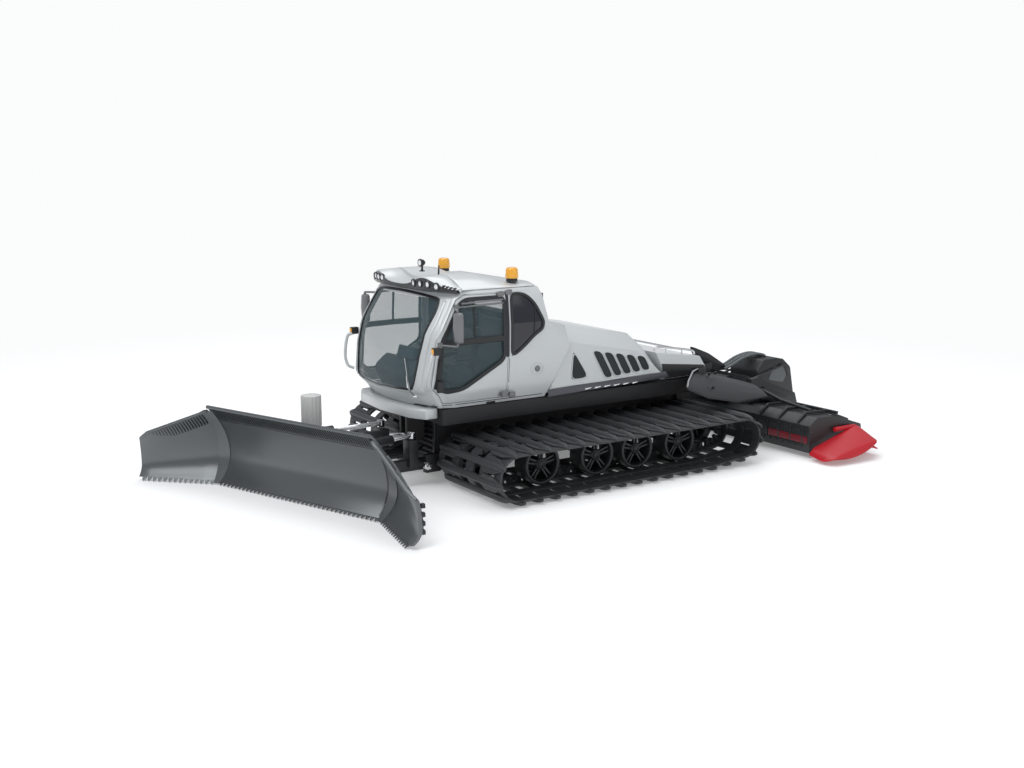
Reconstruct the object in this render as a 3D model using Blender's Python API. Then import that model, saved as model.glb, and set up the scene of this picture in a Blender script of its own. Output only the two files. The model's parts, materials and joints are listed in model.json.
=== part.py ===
"""Snow groomer, a 1:16 toy: tracked carrier with an angled dozer blade and a rear snow tiller.

Run with: blender --background --python part.py
Every length below is in millimetres, and the mesh helpers turn it into metres.
The model's own frame has x = 0 on the plane of symmetry with +X to the machine's left,
-Y forward, z = 0 on the ground and y = 0 at the front of the tracks.
An empty then carries the whole model to the middle of its own outline.
"""

import math

import bmesh
import bpy
from mathutils import Matrix, Vector

MM = 0.001
GAP = 0.3  # air left between pieces that rest on each other
SIDES = (("left", 1), ("right", -1))

# The model's middle, carried to the world's origin.
MIDDLE_Y = 117.0

# Tracks and wheels
TRACK_INNER_X = 34.5
TRACK_OUTER_X = 133.0
TRACK_BAND = 3.2
GROUSER_HEIGHT = 2.3
SHOE_COUNT = 37
LOOP_RADIUS = 23.0
IDLER_Y = 23.0
SPROCKET_Y = 263.0
SPROCKET_Z = 25.0
SPROCKET_LOOP_RADIUS = 21.5
ROAD_WHEEL_YS = (64.0, 120.0, 163.0, 211.0)
ROAD_WHEEL_X = (84.0, 101.0)
END_WHEEL_X = (44.0, 66.0)
AXLE_RADIUS = 3.5
AXLE_GAP = 0.3
ROUND = 20  # sides of a turned piece

# Chassis
TUB_HALF_WIDTH = 29.0
TUB_Y = (6.0, 268.0)
TUB_Z = (11.0, 58.0)
FRAME_HALF_WIDTH = 63.0
FRAME_Y = (-8.0, 262.0)
FRAME_TOP = 70.0
FRONT_LUG = (-6.0, 9.0)  # how far the lift frame's lug reaches forward and up from its pin
REAR_LUG = (6.0, -7.0, 8.0)  # how far the tiller's lug reaches back, down and up from its pin

# Cab
WALL = 3.0
GLASS = 1.2
SEAM = 0.5  # gap round a door or a pane
CAB_FLOOR_Z = 71.0
CAB_TOP_Z = 165.0
# columns: height, half width, y of the windscreen pillars, y of the rear wall
CAB_LEVELS = (
    (71.0, 64.0, -11.0, 91.0),
    (86.0, 68.0, -23.0, 98.5),
    (113.0, 70.0, -20.0, 113.0),
    (131.0, 70.0, -15.5, 107.5),
    (136.0, 70.0, -13.0, 91.0),
    (158.0, 68.0, 0.0, 85.5),
    (165.0, 66.0, 5.0, 82.0),
)
# The front's plan curve: share of the half width, and how far behind the pillar line.
FRONT_CURVE = ((1.0, 14.0), (0.945, 3.0), (0.8, -2.5), (0.43, -9.5), (0.0, -12.0))
DOOR_OUTLINE = (
    (-8.0, 75.0),
    (51.0, 75.0),
    (51.0, 162.0),
    (11.0, 162.0),
    (4.0, 158.0),
    (-15.0, 127.0),
    (-19.5, 89.0),
    (-12.0, 81.5),
)
DOOR_WINDOW = (
    (-8.0, 85.0),
    (8.0, 86.0),
    (47.5, 107.5),
    (47.5, 158.5),
    (13.0, 158.5),
    (7.0, 155.5),
    (-10.5, 126.0),
    (-14.5, 90.0),
)
QUARTER_OUTLINE = (
    (54.5, 109.0),
    (65.0, 115.5),
    (77.0, 125.5),
    (85.0, 130.0),
    (86.0, 136.0),
    (78.0, 151.0),
    (68.5, 159.5),
    (54.5, 161.0),
)
# Half outlines of the panes in the front and rear walls, as (x, z) from the bottom to the top.
WINDSCREEN_HALF = ((48.5, 86.0), (53.0, 112.0), (55.0, 150.0), (52.0, 158.5))
REAR_PANE_HALF = ((50.0, 139.0), (50.0, 157.0))
DOOR_HINGE = (71.5, 52.0)
MIRROR_X = (73.5, 84.0)
MIRROR_Y = (-7.0, -1.0)
MIRROR_Z = (126.0, 150.0)
# Where each stay meets the door: height, x and y.
MIRROR_STAYS = ((152.5, 66.4, 2.6), (123.5, 68.2, -12.8))
MIRROR_STAY_RADIUS = 1.3
MIRROR_POST = 5.0  # how far a stay's post reaches into the mirror
SEAT_HALF_WIDTH, SEAT_Y, SEAT_HEIGHT = 13.0, (30.0, 56.0), 16.0
# Outlines inside the cab, as (y, height over the floor).
SEAT_BACK = ((50.0, 10.0), (57.0, 10.0), (63.0, 52.0), (57.0, 53.0))
DASHBOARD = ((-10.0, 0.0), (6.0, 0.0), (8.0, 22.0), (-2.0, 30.0), (-18.0, 20.0))
DASHBOARD_HALF_WIDTH = 38.0
STEERING_AT = (16.0, 36.0)  # y, and height over the floor
STEERING_FOOT = (4.3, 25.0)
STEERING_WAY = (0.0, 0.5, 0.86)
STEERING_RADIUS = 10.5
BUMPER_HALF = ((57.0, -8.6), (57.0, -20.0), (42.0, -28.0), (0.0, -32.0))
BUMPER_LOW_Z = 62.0

# Roof
ROOF_BASE_Z = CAB_TOP_Z + GAP
# columns: y, half width of the top, height of the top
ROOF_SECTIONS = (
    (9.0, 54.0, 176.0),
    (50.0, 54.0, 177.5),
    (57.0, 62.0, 169.3),
    (78.0, 62.0, 168.0),
)
ROOF_HALF_WIDTH = 66.0
VISOR_CURVE = ((66.0, 5.0), (58.0, -5.0), (42.0, -12.5), (0.0, -14.0))
VISOR_TOP_Z = 175.0
BEACON_X, BEACON_Y = 55.0, 64.0
BEACON_RADIUS, BEACON_HEIGHT = 5.5, 11.0
SEARCH_LIGHT_Y = 14.0
SEARCH_LIGHT_RADIUS = 3.4

# Engine cover and deck
COVER_GAP = 0.7
COVER_HALF_WIDTH = 67.0
COVER_TOP_HALF_WIDTH = 50.0
COVER_SHOULDER = 14.0  # height of the sloping shoulders
COVER_BOTTOM_Z = 74.0
# The cover's side outline, as (y, z); its front edge runs along the cab's rear wall.
COVER_TOP_LINE = ((150.0, 122.5), (190.0, 115.5), (208.0, 101.0), (222.0, 76.0))
DECK_HALF_WIDTH = 61.0
DECK_OUTLINE = ((225.0, 78.0), (215.0, 97.0), (268.0, 89.0), (275.0, 79.0))
DECK_FOOT_Y = (226.0, 261.0)
FENDER_THICKNESS = 2.0
FENDER_CROWN = 7.0
FENDER_BRACKET = (6.0, (263.0, 272.0), (72.0, 78.4))  # reach inwards, y and z
# Fender edges as (y, z): the inner one lies along the deck, the outer one over the track.
FENDER_INNER_X, FENDER_OUTER_X = 63.5, 101.0
FENDER_INNER = ((262.0, 76.0), (287.0, 70.0), (330.0, 58.0))
FENDER_OUTER = ((218.0, 71.0), (243.0, 60.0), (280.0, 52.5), (316.0, 53.5))

# Blade
LIFT_PIVOT = (0.0, 17.0)  # y and z of the lift frame's pin
LIFT_ARM_X = (19.0, 26.0)
YAW_PIVOT_Y = -67.0
YAW_REST = 19.6  # degrees the blade is turned to the right, seen from the seat
KING_POST_RADIUS = 7.0
KING_BORE = 0.5 * KING_POST_RADIUS
KING_POST_Z = (10.0, 34.0)
HEAD_TOP_Z = 30.0
BLADE_WIDTH = 184.0
BLADE_HEIGHT = 68.0
BLADE_DEPTH = 14.8
BLADE_BELLY_Z = 25.0
BLADE_LIP = 7.3
BLADE_PLATE = 3.0
BLADE_REACH = 57.0  # from the king post to the cutting edge
BLADE_ARM = 4.0  # thickness of the two arms that hold the king post
BLADE_ARM_INTO = {"low": 3.8, "high": 7.2}  # how far each runs into the plate
TOE_Z = 0.3
WING_LENGTH = 71.0
WING_TIP_HEIGHT = 42.0
WING_TIP_DEPTH = 9.5
WING_CHAMFER = 10.0
WING_GAP = 0.8
WING_MOST_FOLD = 45.0
WING_FOLD = {"left": 31.6, "right": 26.0}
KNOB_AT = (-17.0, -86.0)
KNOB_Z = (52.0, 78.0)
KNOB_STEM_RADIUS = 2.4
KNOB_RADIUS, KNOB_RIB, KNOB_RIBS = 7.6, 0.8, 14

# Cylinders: barrel and rod sizes
BARREL_RADIUS = 4.0
ROD_RADIUS = 2.0
EYE_RADIUS = 3.2
LIFT_CYLINDER = ((4.0, -55.0, 43.0), (4.0, -8.0, 40.0))  # barrel pin, rod pin
LIFT_BARREL_LENGTH = 28.0
LIFT_ROD_REACH = 30.0
ANGLE_ROD_PIN = (27.0, -17.0, 44.0)
ANGLE_BARREL_U = 38.0
ANGLE_BARREL_Z = ANGLE_ROD_PIN[2]  # level, so that the rod's eye keeps its height
ANGLE_BARREL_BACK = 26.0
ANGLE_BARREL_LENGTH = 46.0
ANGLE_ROD_REACH = 60.0
REAR_CYLINDER = ((0.0, 279.0, 67.0), (0.0, 322.0, 65.0))
REAR_BARREL_LENGTH = 24.0
REAR_ROD_REACH = 28.5
PIN_RADIUS = 1.5
EAR = 3.0  # thickness of a lug or ear
LUG_REACH = 4.0  # from a pin's middle to its lug's edge
BARREL_GAP = 0.4  # between a barrel and its lugs
SUNK = 2.0  # how far a joined piece runs into its neighbour
EAR_GAP = 6.0  # from the middle of a cylinder to the blade's ears

# Tiller
REAR_PIVOT = (279.0, 45.0)  # y and z of the carrier's pin
CARRIER_TUBE_RADIUS = 4.5
CARRIER_ARM_X = (14.0, 21.0)
CARRIER_ARM_END_Z = (40.0, 52.0)
CARRIER_HEAD_HALF_WIDTH, CARRIER_HEAD_Z, CARRIER_HEAD_DEPTH = 34.0, (38.0, 60.0), 8.0
CARRIER_LUG_LOW_Z = 55.0
ROTOR_Y, ROTOR_Z = 345.0, 17.0
ROTOR_CORE, ROTOR_TIP = 8.0, 13.5
ROTOR_BLADES = 6
ROTOR_TWIST = 50.0  # degrees that a blade turns from the middle to each end
ROTOR_ROOM = 1.5  # round the blades' tips
HOOD_HALF_WIDTH = 143.0
END_PLATE = 3.0
HOOD_OUTLINE = (
    (328.0, 16.0),
    (328.0, 30.0),
    (338.0, 37.0),
    (362.0, 36.0),
    (396.0, 25.0),
    (397.0, 21.0),
    (366.0, 20.0),
    (366.0, 5.0),
    (329.0, 5.0),
)
HOUSING_HALF_WIDTH = 55.0
HOUSING_OUTLINE = (
    (334.0, 30.0),
    (334.0, 63.0),
    (392.0, 41.0),
    (408.0, 26.0),
    (409.0, 21.0),
    (370.0, 21.0),
)
TOWER_HALF_WIDTH = 20.0
# The tower's outline above the housing's sloping top, as (y, z).
TOWER_OUTLINE = (
    (382.5, 58.0),
    (391.5, 68.3),
    (411.0, 68.6),
    (419.5, 66.8),
    (430.0, 58.0),
    (436.0, 29.0),
    (434.0, 22.0),
)
FINISHER_OUTLINE = ((391.0, 20.2), (397.0, 20.2), (414.0, 3.0), (411.0, 2.0))
FLAP_X = (HOOD_HALF_WIDTH + 3.5, HOOD_HALF_WIDTH + 35.0)
FLAP_THICKNESS = 2.0
FLAP_CROWN = 6.0
# A flap's edges as (y, z): the inner one lies along the hood.
FLAP_INNER = ((333.0, 6.0), (352.0, 19.0), (378.0, 25.0), (388.0, 20.0))
FLAP_OUTER = ((322.0, 2.5), (342.0, 8.0), (372.0, 13.0), (386.0, 9.0))
FLAP_HINGE = (HOOD_HALF_WIDTH + 2.6, 24.5)  # x and z
FLAP_KNUCKLE_Y = (358.0, 384.0)
FLAP_KNUCKLE_RADIUS = 2.2


def material(name, colour, roughness, metallic=0.0):
    made = bpy.data.materials.new(name)
    made.use_nodes = True
    shader = made.node_tree.nodes["Principled BSDF"]
    shader.inputs["Base Color"].default_value = (*colour, 1.0)
    shader.inputs["Roughness"].default_value = roughness
    shader.inputs["Metallic"].default_value = metallic
    return made


def materials():
    return {
        "body": material("silver_white_plastic", (0.78, 0.79, 0.80), 0.32),
        "dark": material("dark_plastic", (0.04, 0.042, 0.045), 0.45),
        "track": material("track_plastic", (0.07, 0.07, 0.075), 0.55),
        "blade": material("gunmetal_plastic", (0.10, 0.11, 0.115), 0.35, 0.4),
        "glass": material("tinted_glass", (0.35, 0.45, 0.48), 0.08),
        "amber": material("amber_plastic", (0.95, 0.45, 0.05), 0.2),
        "red": material("red_plastic", (0.60, 0.03, 0.04), 0.4),
        "silver": material("silver_rod", (0.75, 0.76, 0.77), 0.25, 0.8),
        "knob": material("light_grey_plastic", (0.62, 0.62, 0.61), 0.4),
    }


def new_object(name, vertices, faces, finish=None):
    """An object whose mesh has its vertices, in millimetres, in the model's own frame."""
    mesh = bpy.data.meshes.new(name)
    mesh.from_pydata([Vector(v) * MM for v in vertices], [], faces)
    edit = bmesh.new()
    edit.from_mesh(mesh)
    bmesh.ops.recalc_face_normals(edit, faces=edit.faces)
    edit.to_mesh(mesh)
    edit.free()
    made = bpy.data.objects.new(name, mesh)
    bpy.context.scene.collection.objects.link(made)
    made.parent = ORIGIN
    if finish:
        mesh.materials.append(finish)
        mesh.shade_smooth()
        mesh.set_sharp_from_angle(angle=math.radians(35))
    return made


def helper(made):
    """Marks a cutter, or a shape that another object is joined to."""
    made.hide_render = True
    made.display_type = "WIRE"
    return made


def loft(name, rings, finish=None):
    """A closed solid through rings of equally many points, capped at both ends."""
    count = len(rings[0])
    vertices = [point for ring in rings for point in ring]
    faces = []
    for row in range(len(rings) - 1):
        for i in range(count):
            j = (i + 1) % count
            low, high = row * count, (row + 1) * count
            faces.append((low + i, low + j, high + j, high + i))
    faces.append(tuple(range(count)))
    faces.append(tuple(range(len(vertices) - count, len(vertices))))
    return new_object(name, vertices, faces, finish)


def prism(name, outline, axis, low, high, finish=None):
    """An outline drawn in the plane across an axis, drawn out along that axis."""
    at = {
        "x": lambda a, b, c: (c, a, b),
        "y": lambda a, b, c: (a, c, b),
        "z": lambda a, b, c: (a, b, c),
    }[axis]
    return loft(name, [[at(a, b, c) for a, b in outline] for c in (low, high)], finish)


def box(name, xs, ys, zs, finish=None):
    corners = [(xs[0], ys[0]), (xs[1], ys[0]), (xs[1], ys[1]), (xs[0], ys[1])]
    return prism(name, corners, "z", zs[0], zs[1], finish)


def across(direction):
    """Two unit vectors square to a direction and to each other."""
    along = Vector(direction).normalized()
    start = Vector((0, 0, 1)) if abs(along.z) < 0.9 else Vector((1, 0, 0))
    first = along.cross(start).normalized()
    return first, along.cross(first)


def ring(centre, direction, radius, count):
    first, second = across(direction)
    turns = [2 * math.pi * i / count for i in range(count)]
    return [Vector(centre) + radius * (math.cos(t) * first + math.sin(t) * second) for t in turns]


def rod(name, start, end, radius, finish=None, count=12):
    way = Vector(end) - Vector(start)
    return loft(name, [ring(start, way, radius, count), ring(end, way, radius, count)], finish)


def turned(name, centre, direction, profile, finish=None, count=ROUND):
    """A ring-shaped solid: a closed profile of (along, radius) points turned about an axis."""
    way = Vector(direction).normalized()
    rings = [ring(Vector(centre) + along * way, way, radius, count) for along, radius in profile]
    vertices = [point for one in rings for point in one]
    faces = []
    for row in range(len(rings)):
        after = (row + 1) % len(rings)
        for i in range(count):
            j = (i + 1) % count
            faces.append((row * count + i, row * count + j, after * count + j, after * count + i))
    return new_object(name, vertices, faces, finish)


def change(made, other, operation):
    step = made.modifiers.new(f"{operation.lower()}_{other.name}", "BOOLEAN")
    step.operation = operation
    step.object = other
    step.solver = "EXACT"
    helper(other)
    return made


def join(made, *others):
    for other in others:
        change(made, other, "UNION")
    return made


def cut(made, *others):
    for other in others:
        change(made, other, "DIFFERENCE")
    return made


def set_pivot(made, pivot):
    """Moves an object's origin to a point of the model's frame, with its shape left in place."""
    point = Vector(pivot) * MM
    made.data.transform(Matrix.Translation(-point))
    made.location = point


def mirrored(outline, side):
    return [(side * x, *rest) for x, *rest in outline]


def spread(outline, amount):
    """A convex outline of (a, b) points, moved outwards by an amount, or inwards if negative."""
    count = len(outline)
    area = sum(
        outline[i][0] * outline[(i + 1) % count][1] - outline[(i + 1) % count][0] * outline[i][1]
        for i in range(count)
    )
    turn = 1 if area > 0 else -1
    moved = []
    for i in range(count):
        before, here, after = (Vector(outline[(i + k) % count]) for k in (-1, 0, 1))
        first, second = (here - before).normalized(), (after - here).normalized()
        normals = [Vector((d.y, -d.x)) * turn for d in (first, second)]
        middle = (normals[0] + normals[1]).normalized()
        moved.append(tuple(here + middle * amount / max(middle.dot(normals[0]), 0.3)))
    return moved


# ---------------------------------------------------------------- running gear


def belt_points(shrink, count=72):
    """The loop round the idler, the last road wheel and the sprocket, each circle less shrink."""
    circles = (
        (IDLER_Y, LOOP_RADIUS, LOOP_RADIUS),
        (ROAD_WHEEL_YS[-1] + 12, LOOP_RADIUS, LOOP_RADIUS),
        (SPROCKET_Y, SPROCKET_Z, SPROCKET_LOOP_RADIUS),
    )
    cloud = []
    for y, z, radius in circles:
        for i in range(count):
            turn = 2 * math.pi * i / count
            cloud.append((y + (radius - shrink) * math.cos(turn), z + (radius - shrink) * math.sin(turn)))
    cloud = sorted(cloud)

    def half(points):
        chain = []
        for point in points:
            while len(chain) > 1:
                (ay, az), (by, bz) = chain[-2], chain[-1]
                if (by - ay) * (point[1] - az) - (bz - az) * (point[0] - ay) > 1e-9:
                    break
                chain.pop()
            chain.append(point)
        return chain[:-1]

    return half(cloud) + half(cloud[::-1])


def along_loop(loop, distance):
    """The point, and the outward way there, at a distance along a closed loop."""
    count = len(loop)
    for i in range(count):
        here, after = Vector(loop[i]), Vector(loop[(i + 1) % count])
        length = (after - here).length
        if distance <= length:
            way = (after - here).normalized()
            return here + way * distance, Vector((way.y, -way.x))
        distance -= length
    return Vector(loop[0]), Vector((0, -1))


def loop_length(loop):
    return sum((Vector(loop[i]) - Vector(loop[i - 1])).length for i in range(len(loop)))


def track_outline():
    """The loop's outer side, with one raised bar for each shoe."""
    base = belt_points(GROUSER_HEIGHT)
    length = loop_length(base)
    pitch = length / SHOE_COUNT
    outline = []
    for shoe in range(SHOE_COUNT):
        for share, height in ((0.0, 0), (0.36, 0), (0.46, 1), (0.86, 1)):
            point, out = along_loop(base, (shoe + share) * pitch)
            outline.append(tuple(point + out * GROUSER_HEIGHT * height))
    return outline


def make_track(side, name, finish):
    inner_loop = belt_points(GROUSER_HEIGHT + TRACK_BAND, 24)
    xs = sorted((side * TRACK_INNER_X, side * TRACK_OUTER_X))
    track = prism(name, track_outline(), "x", xs[0], xs[1], finish)
    return cut(track, prism(f"{name}_hollow", inner_loop, "x", xs[0] - 5, xs[1] + 5))


def wheel_profile(xs, radius, rim, dish):
    """A dished disc: a wide rim and hub with a thinner web between them."""
    hub = AXLE_RADIUS + AXLE_GAP
    middle = (xs[0] + xs[1]) / 2
    return (
        (xs[0], hub),
        (xs[0], hub + 3.5),
        (middle - dish, hub + 4.5),
        (middle - dish, radius - rim),
        (xs[0], radius - rim + 1),
        (xs[0], radius),
        (xs[1], radius),
        (xs[1], radius - rim + 1),
        (middle + dish, radius - rim),
        (middle + dish, hub + 4.5),
        (xs[1], hub + 3.5),
        (xs[1], hub),
    )


def make_running_gear(finishes):
    inner = GROUSER_HEIGHT + TRACK_BAND + GAP
    for side_name, side in SIDES:
        make_track(side, f"{side_name}_track", finishes["track"])
        way = (side, 0, 0)
        road = wheel_profile(ROAD_WHEEL_X, LOOP_RADIUS - inner, 3.5, 2.5)
        for number, y in enumerate(ROAD_WHEEL_YS, 1):
            name = f"{side_name}_road_wheel_{number}"
            turned(name, (0, y, LOOP_RADIUS), way, road, finishes["dark"])
        idler = wheel_profile(END_WHEEL_X, LOOP_RADIUS - inner, 3.5, 4.0)
        turned(f"{side_name}_idler", (0, IDLER_Y, LOOP_RADIUS), way, idler, finishes["dark"])
        sprocket = wheel_profile(END_WHEEL_X, SPROCKET_LOOP_RADIUS - inner, 3.5, 4.0)
        name = f"{side_name}_sprocket"
        turned(name, (0, SPROCKET_Y, SPROCKET_Z), way, sprocket, finishes["dark"])


def lug_range(x, side, gap):
    """The thickness, as x values, of a lug that stands a gap to one side of x."""
    return sorted((x + side * gap, x + side * (gap + EAR)))


def make_chassis(finishes):
    half = TUB_HALF_WIDTH
    chassis = box("chassis", (-half, half), TUB_Y, TUB_Z, finishes["dark"])
    wide = FRAME_HALF_WIDTH
    parts = [box("chassis_frame", (-wide, wide), FRAME_Y, (TUB_Z[1] - 1, FRAME_TOP))]
    for y in ROAD_WHEEL_YS:
        end = ROAD_WHEEL_X[1] - 1
        parts.append(rod(f"axle_{y:.0f}", (-end, y, LOOP_RADIUS), (end, y, LOOP_RADIUS), AXLE_RADIUS))
    end = END_WHEEL_X[1] - 1
    for name, y, z in (("idler", IDLER_Y, LOOP_RADIUS), ("sprocket", SPROCKET_Y, SPROCKET_Z)):
        parts.append(rod(f"axle_{name}", (-end, y, z), (end, y, z), AXLE_RADIUS))
    pivot_y, pivot_z = LIFT_PIVOT
    for side_name, side in SIDES:
        xs = sorted((side * (LIFT_ARM_X[1] + SEAM), side * (LIFT_ARM_X[1] + 2 * EAR)))
        front = (pivot_y + FRONT_LUG[0], TUB_Y[0] + SUNK)
        parts.append(box(f"front_lug_{side_name}", xs, front, (TUB_Z[0], pivot_z + FRONT_LUG[1])))
        (pin_y, pin_z), (back, down, up) = REAR_PIVOT, REAR_LUG
        rear = (TUB_Y[1] - SUNK, pin_y + back)
        parts.append(box(f"rear_lug_{side_name}", xs, rear, (pin_z + down, pin_z + up)))
    rod_pin = Vector(LIFT_CYLINDER[1])
    lug = (rod_pin.y - LUG_REACH, TUB_Y[0] + SUNK)
    for side in (-1, 1):
        xs = lug_range(rod_pin.x, side, EYE_RADIUS + GAP)
        parts.append(box(f"lift_lug_{side}", xs, lug, (rod_pin.z - LUG_REACH - 1, TUB_Z[1])))
    foot = Vector(REAR_CYLINDER[0])
    for side in (-1, 1):
        xs = lug_range(0, side, BARREL_RADIUS + BARREL_GAP)
        ys = (FRAME_Y[1] - SEAM, foot.y + LUG_REACH)
        parts.append(box(f"rear_top_lug_{side}", xs, ys, (foot.z - LUG_REACH - 1, foot.z + LUG_REACH)))
    reach = Vector((BARREL_RADIUS + 1, 0, 0))
    parts.append(rod("rear_top_pin", foot - reach, foot + reach, PIN_RADIUS, count=8))
    return join(chassis, *parts)


# ------------------------------------------------------------------------- cab


def cab_block(name, inset, low=None, high=None):
    """The cab's outer form moved inwards by an inset, as a solid."""
    rings = []
    for z, half, front, rear in CAB_LEVELS:
        level = z
        if z == CAB_LEVELS[0][0]:
            level = z + inset if low is None else low
        if z == CAB_LEVELS[-1][0]:
            level = z - inset if high is None else high
        curve = [((half - inset) * share, front + inset + back) for share, back in FRONT_CURVE]
        right = [(-x, y) for x, y in curve[:-1]]
        outline = [(half - inset, rear - inset), *curve, *right[::-1], (inset - half, rear - inset)]
        rings.append([(x, y, level) for x, y in outline])
    return loft(name, rings)


def full_outline(half_outline):
    return [*half_outline, *[(-x, z) for x, z in reversed(half_outline)]]


def skin_piece(name, outline, axis, low, high, depth, finish):
    """A piece of the cab's skin inside an outline, from its surface down to a depth."""
    piece = prism(name, outline, axis, low, high, finish)
    sunk, thick = depth
    outer = cab_block(f"{name}_outer", sunk)
    inner = cab_block(f"{name}_inner", sunk + thick, CAB_FLOOR_Z - 9, CAB_TOP_Z + 9)
    change(piece, outer, "INTERSECT")
    return cut(piece, inner)


def side_range(side):
    return sorted((side * 40.0, side * 90.0))


def make_cab(finishes):
    cab = cab_block("cab_shell", 0.0)
    cab.data.materials.append(finishes["body"])
    cut(cab, cab_block("cab_hollow", WALL))
    screen, rear = full_outline(WINDSCREEN_HALF), full_outline(REAR_PANE_HALF)
    cut(cab, prism("windscreen_cut", screen, "y", -60, 30))
    cut(cab, prism("rear_pane_cut", rear, "y", 70, 120))
    pane = (0.4, GLASS)
    skin_piece("windscreen", spread(screen, -SEAM), "y", -60, 30, pane, finishes["glass"])
    skin_piece("rear_window", spread(rear, -SEAM), "y", 70, 120, pane, finishes["glass"])
    for side_name, side in SIDES:
        xs = side_range(side)
        cut(cab, prism(f"{side_name}_door_cut", DOOR_OUTLINE, "x", *xs))
        cut(cab, prism(f"{side_name}_quarter_cut", QUARTER_OUTLINE, "x", *xs))
        quarter = spread(QUARTER_OUTLINE, -SEAM)
        skin_piece(f"{side_name}_quarter_window", quarter, "x", *xs, pane, finishes["glass"])
        make_door(side_name, side, finishes)


def make_door(side_name, side, finishes):
    xs = side_range(side)
    pivot = (side * DOOR_HINGE[0], DOOR_HINGE[1], CAB_FLOOR_Z)
    name = f"{side_name}_door"
    door = skin_piece(name, spread(DOOR_OUTLINE, -SEAM), "x", *xs, (0.0, WALL), finishes["body"])
    cut(door, prism(f"{name}_window_cut", DOOR_WINDOW, "x", *xs))
    glass = spread(DOOR_WINDOW, -SEAM)
    pane = skin_piece(f"{name}_glass", glass, "x", *xs, (0.8, GLASS), finishes["glass"])
    mirror = make_mirror(side_name, side, finishes)
    for piece in (door, pane, mirror):
        set_pivot(piece, pivot)


def make_mirror(side_name, side, finishes):
    """A tall mirror on two stays from the door's front edge."""
    outline = [(MIRROR_X[0], -2.5), (MIRROR_X[0] + 2, MIRROR_Y[0]), (MIRROR_X[1], -5.0)]
    outline += [(MIRROR_X[1], MIRROR_Y[1]), (MIRROR_X[0], MIRROR_Y[1])]
    mirror = prism(f"{side_name}_mirror", mirrored(outline, side), "z", *MIRROR_Z, finishes["dark"])
    radius = MIRROR_STAY_RADIUS
    for number, (z, x, y) in enumerate(MIRROR_STAYS):
        middle = Vector((side * (MIRROR_X[0] + MIRROR_POST), sum(MIRROR_Y) / 2, z))
        inward = Vector((0, 0, MIRROR_POST if z < MIRROR_Z[0] else -MIRROR_POST))
        stay = rod(f"{side_name}_stay_{number}", (side * x, y, z), middle, radius, count=8)
        post = rod(f"{side_name}_post_{number}", middle, middle + inward, radius, count=8)
        join(mirror, stay, post)
    return mirror


def make_roof(finishes):
    base, half = ROOF_BASE_Z, ROOF_HALF_WIDTH
    rings = []
    for y, top_half, top in ROOF_SECTIONS:
        right = [(-half, y, base), (-half, y, base + 1.2), (-top_half, y, top)]
        rings.append([*right, *[(-x, a, b) for x, a, b in reversed(right)]])
    loft("cab_roof", rings, finishes["body"])
    rear_top = ROOF_SECTIONS[2][2] + GAP
    for side_name, side in SIDES:
        at = (side * BEACON_X, BEACON_Y)
        low, high = (*at, rear_top), (*at, rear_top + BEACON_HEIGHT)
        rod(f"{side_name}_beacon", low, high, BEACON_RADIUS, finishes["amber"], 16)
    top = ROOF_SECTIONS[0][2] + 0.9
    centre = (0, SEARCH_LIGHT_Y, top + 6)
    lamp = rod("search_light", centre, (0, SEARCH_LIGHT_Y - 5, centre[2]), SEARCH_LIGHT_RADIUS, finishes["dark"])
    stalk = (0, SEARCH_LIGHT_Y - 2.5, top), (0, SEARCH_LIGHT_Y - 2.5, centre[2])
    join(lamp, rod("search_light_stalk", *stalk, 1.2, count=8))
    half = [(ROOF_HALF_WIDTH, ROOF_SECTIONS[0][0] - GAP), *VISOR_CURVE]
    rings = []
    for z, inset in ((ROOF_BASE_Z, 4.0), (ROOF_BASE_Z + 3, 0.0), (VISOR_TOP_Z, 1.0)):
        right = [(x - inset * x / ROOF_HALF_WIDTH, y + inset, z) for x, y in half[1:]]
        corner = (ROOF_HALF_WIDTH - inset, half[0][1], z)
        right = [corner, *right]
        rings.append([*right, *[(-x, y, z) for x, y, _ in reversed(right[:-1])]])
    loft("roof_visor", rings, finishes["dark"])


def make_cab_inside(finishes):
    floor = CAB_FLOOR_Z + WALL + GAP
    seat_z = (floor, floor + SEAT_HEIGHT)
    seat = box("driver_seat", (-SEAT_HALF_WIDTH, SEAT_HALF_WIDTH), SEAT_Y, seat_z, finishes["dark"])
    half = SEAT_HALF_WIDTH - 1
    join(seat, prism("seat_back", [(y, floor + up) for y, up in SEAT_BACK], "x", -half, half))
    half = DASHBOARD_HALF_WIDTH
    prism("dashboard", [(y, floor + up) for y, up in DASHBOARD], "x", -half, half, finishes["dark"])
    centre = Vector((0, STEERING_AT[0], floor + STEERING_AT[1]))
    foot = Vector((0, STEERING_FOOT[0], floor + STEERING_FOOT[1]))
    inner, outer = STEERING_RADIUS - 1, STEERING_RADIUS + 1
    rim = [(-1.0, inner), (-1.0, outer), (1.0, outer), (1.0, inner)]
    wheel = turned("steering_wheel", centre, STEERING_WAY, rim, finishes["dark"], 16)
    reach = Vector((STEERING_RADIUS - 0.5, 0, 0))
    spoke = rod("steering_spoke", centre - reach, centre + reach, 1.2, count=8)
    column = rod("steering_column", foot + (centre - foot).normalized(), centre, 1.4, count=8)
    join(wheel, spoke, column)


def make_bumper(finishes):
    outline = [*BUMPER_HALF, *[(-x, y) for x, y in reversed(BUMPER_HALF[:-1])]]
    prism("front_bumper", outline, "z", BUMPER_LOW_Z, CAB_FLOOR_Z - GAP, finishes["body"])


# ------------------------------------------------------------- cover and deck


def cab_rear_line():
    """The cab's rear edge below its shoulder, as (y, z) from the shoulder down."""
    return [(rear, z) for z, _, _, rear in CAB_LEVELS[:4]][::-1]


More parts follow.
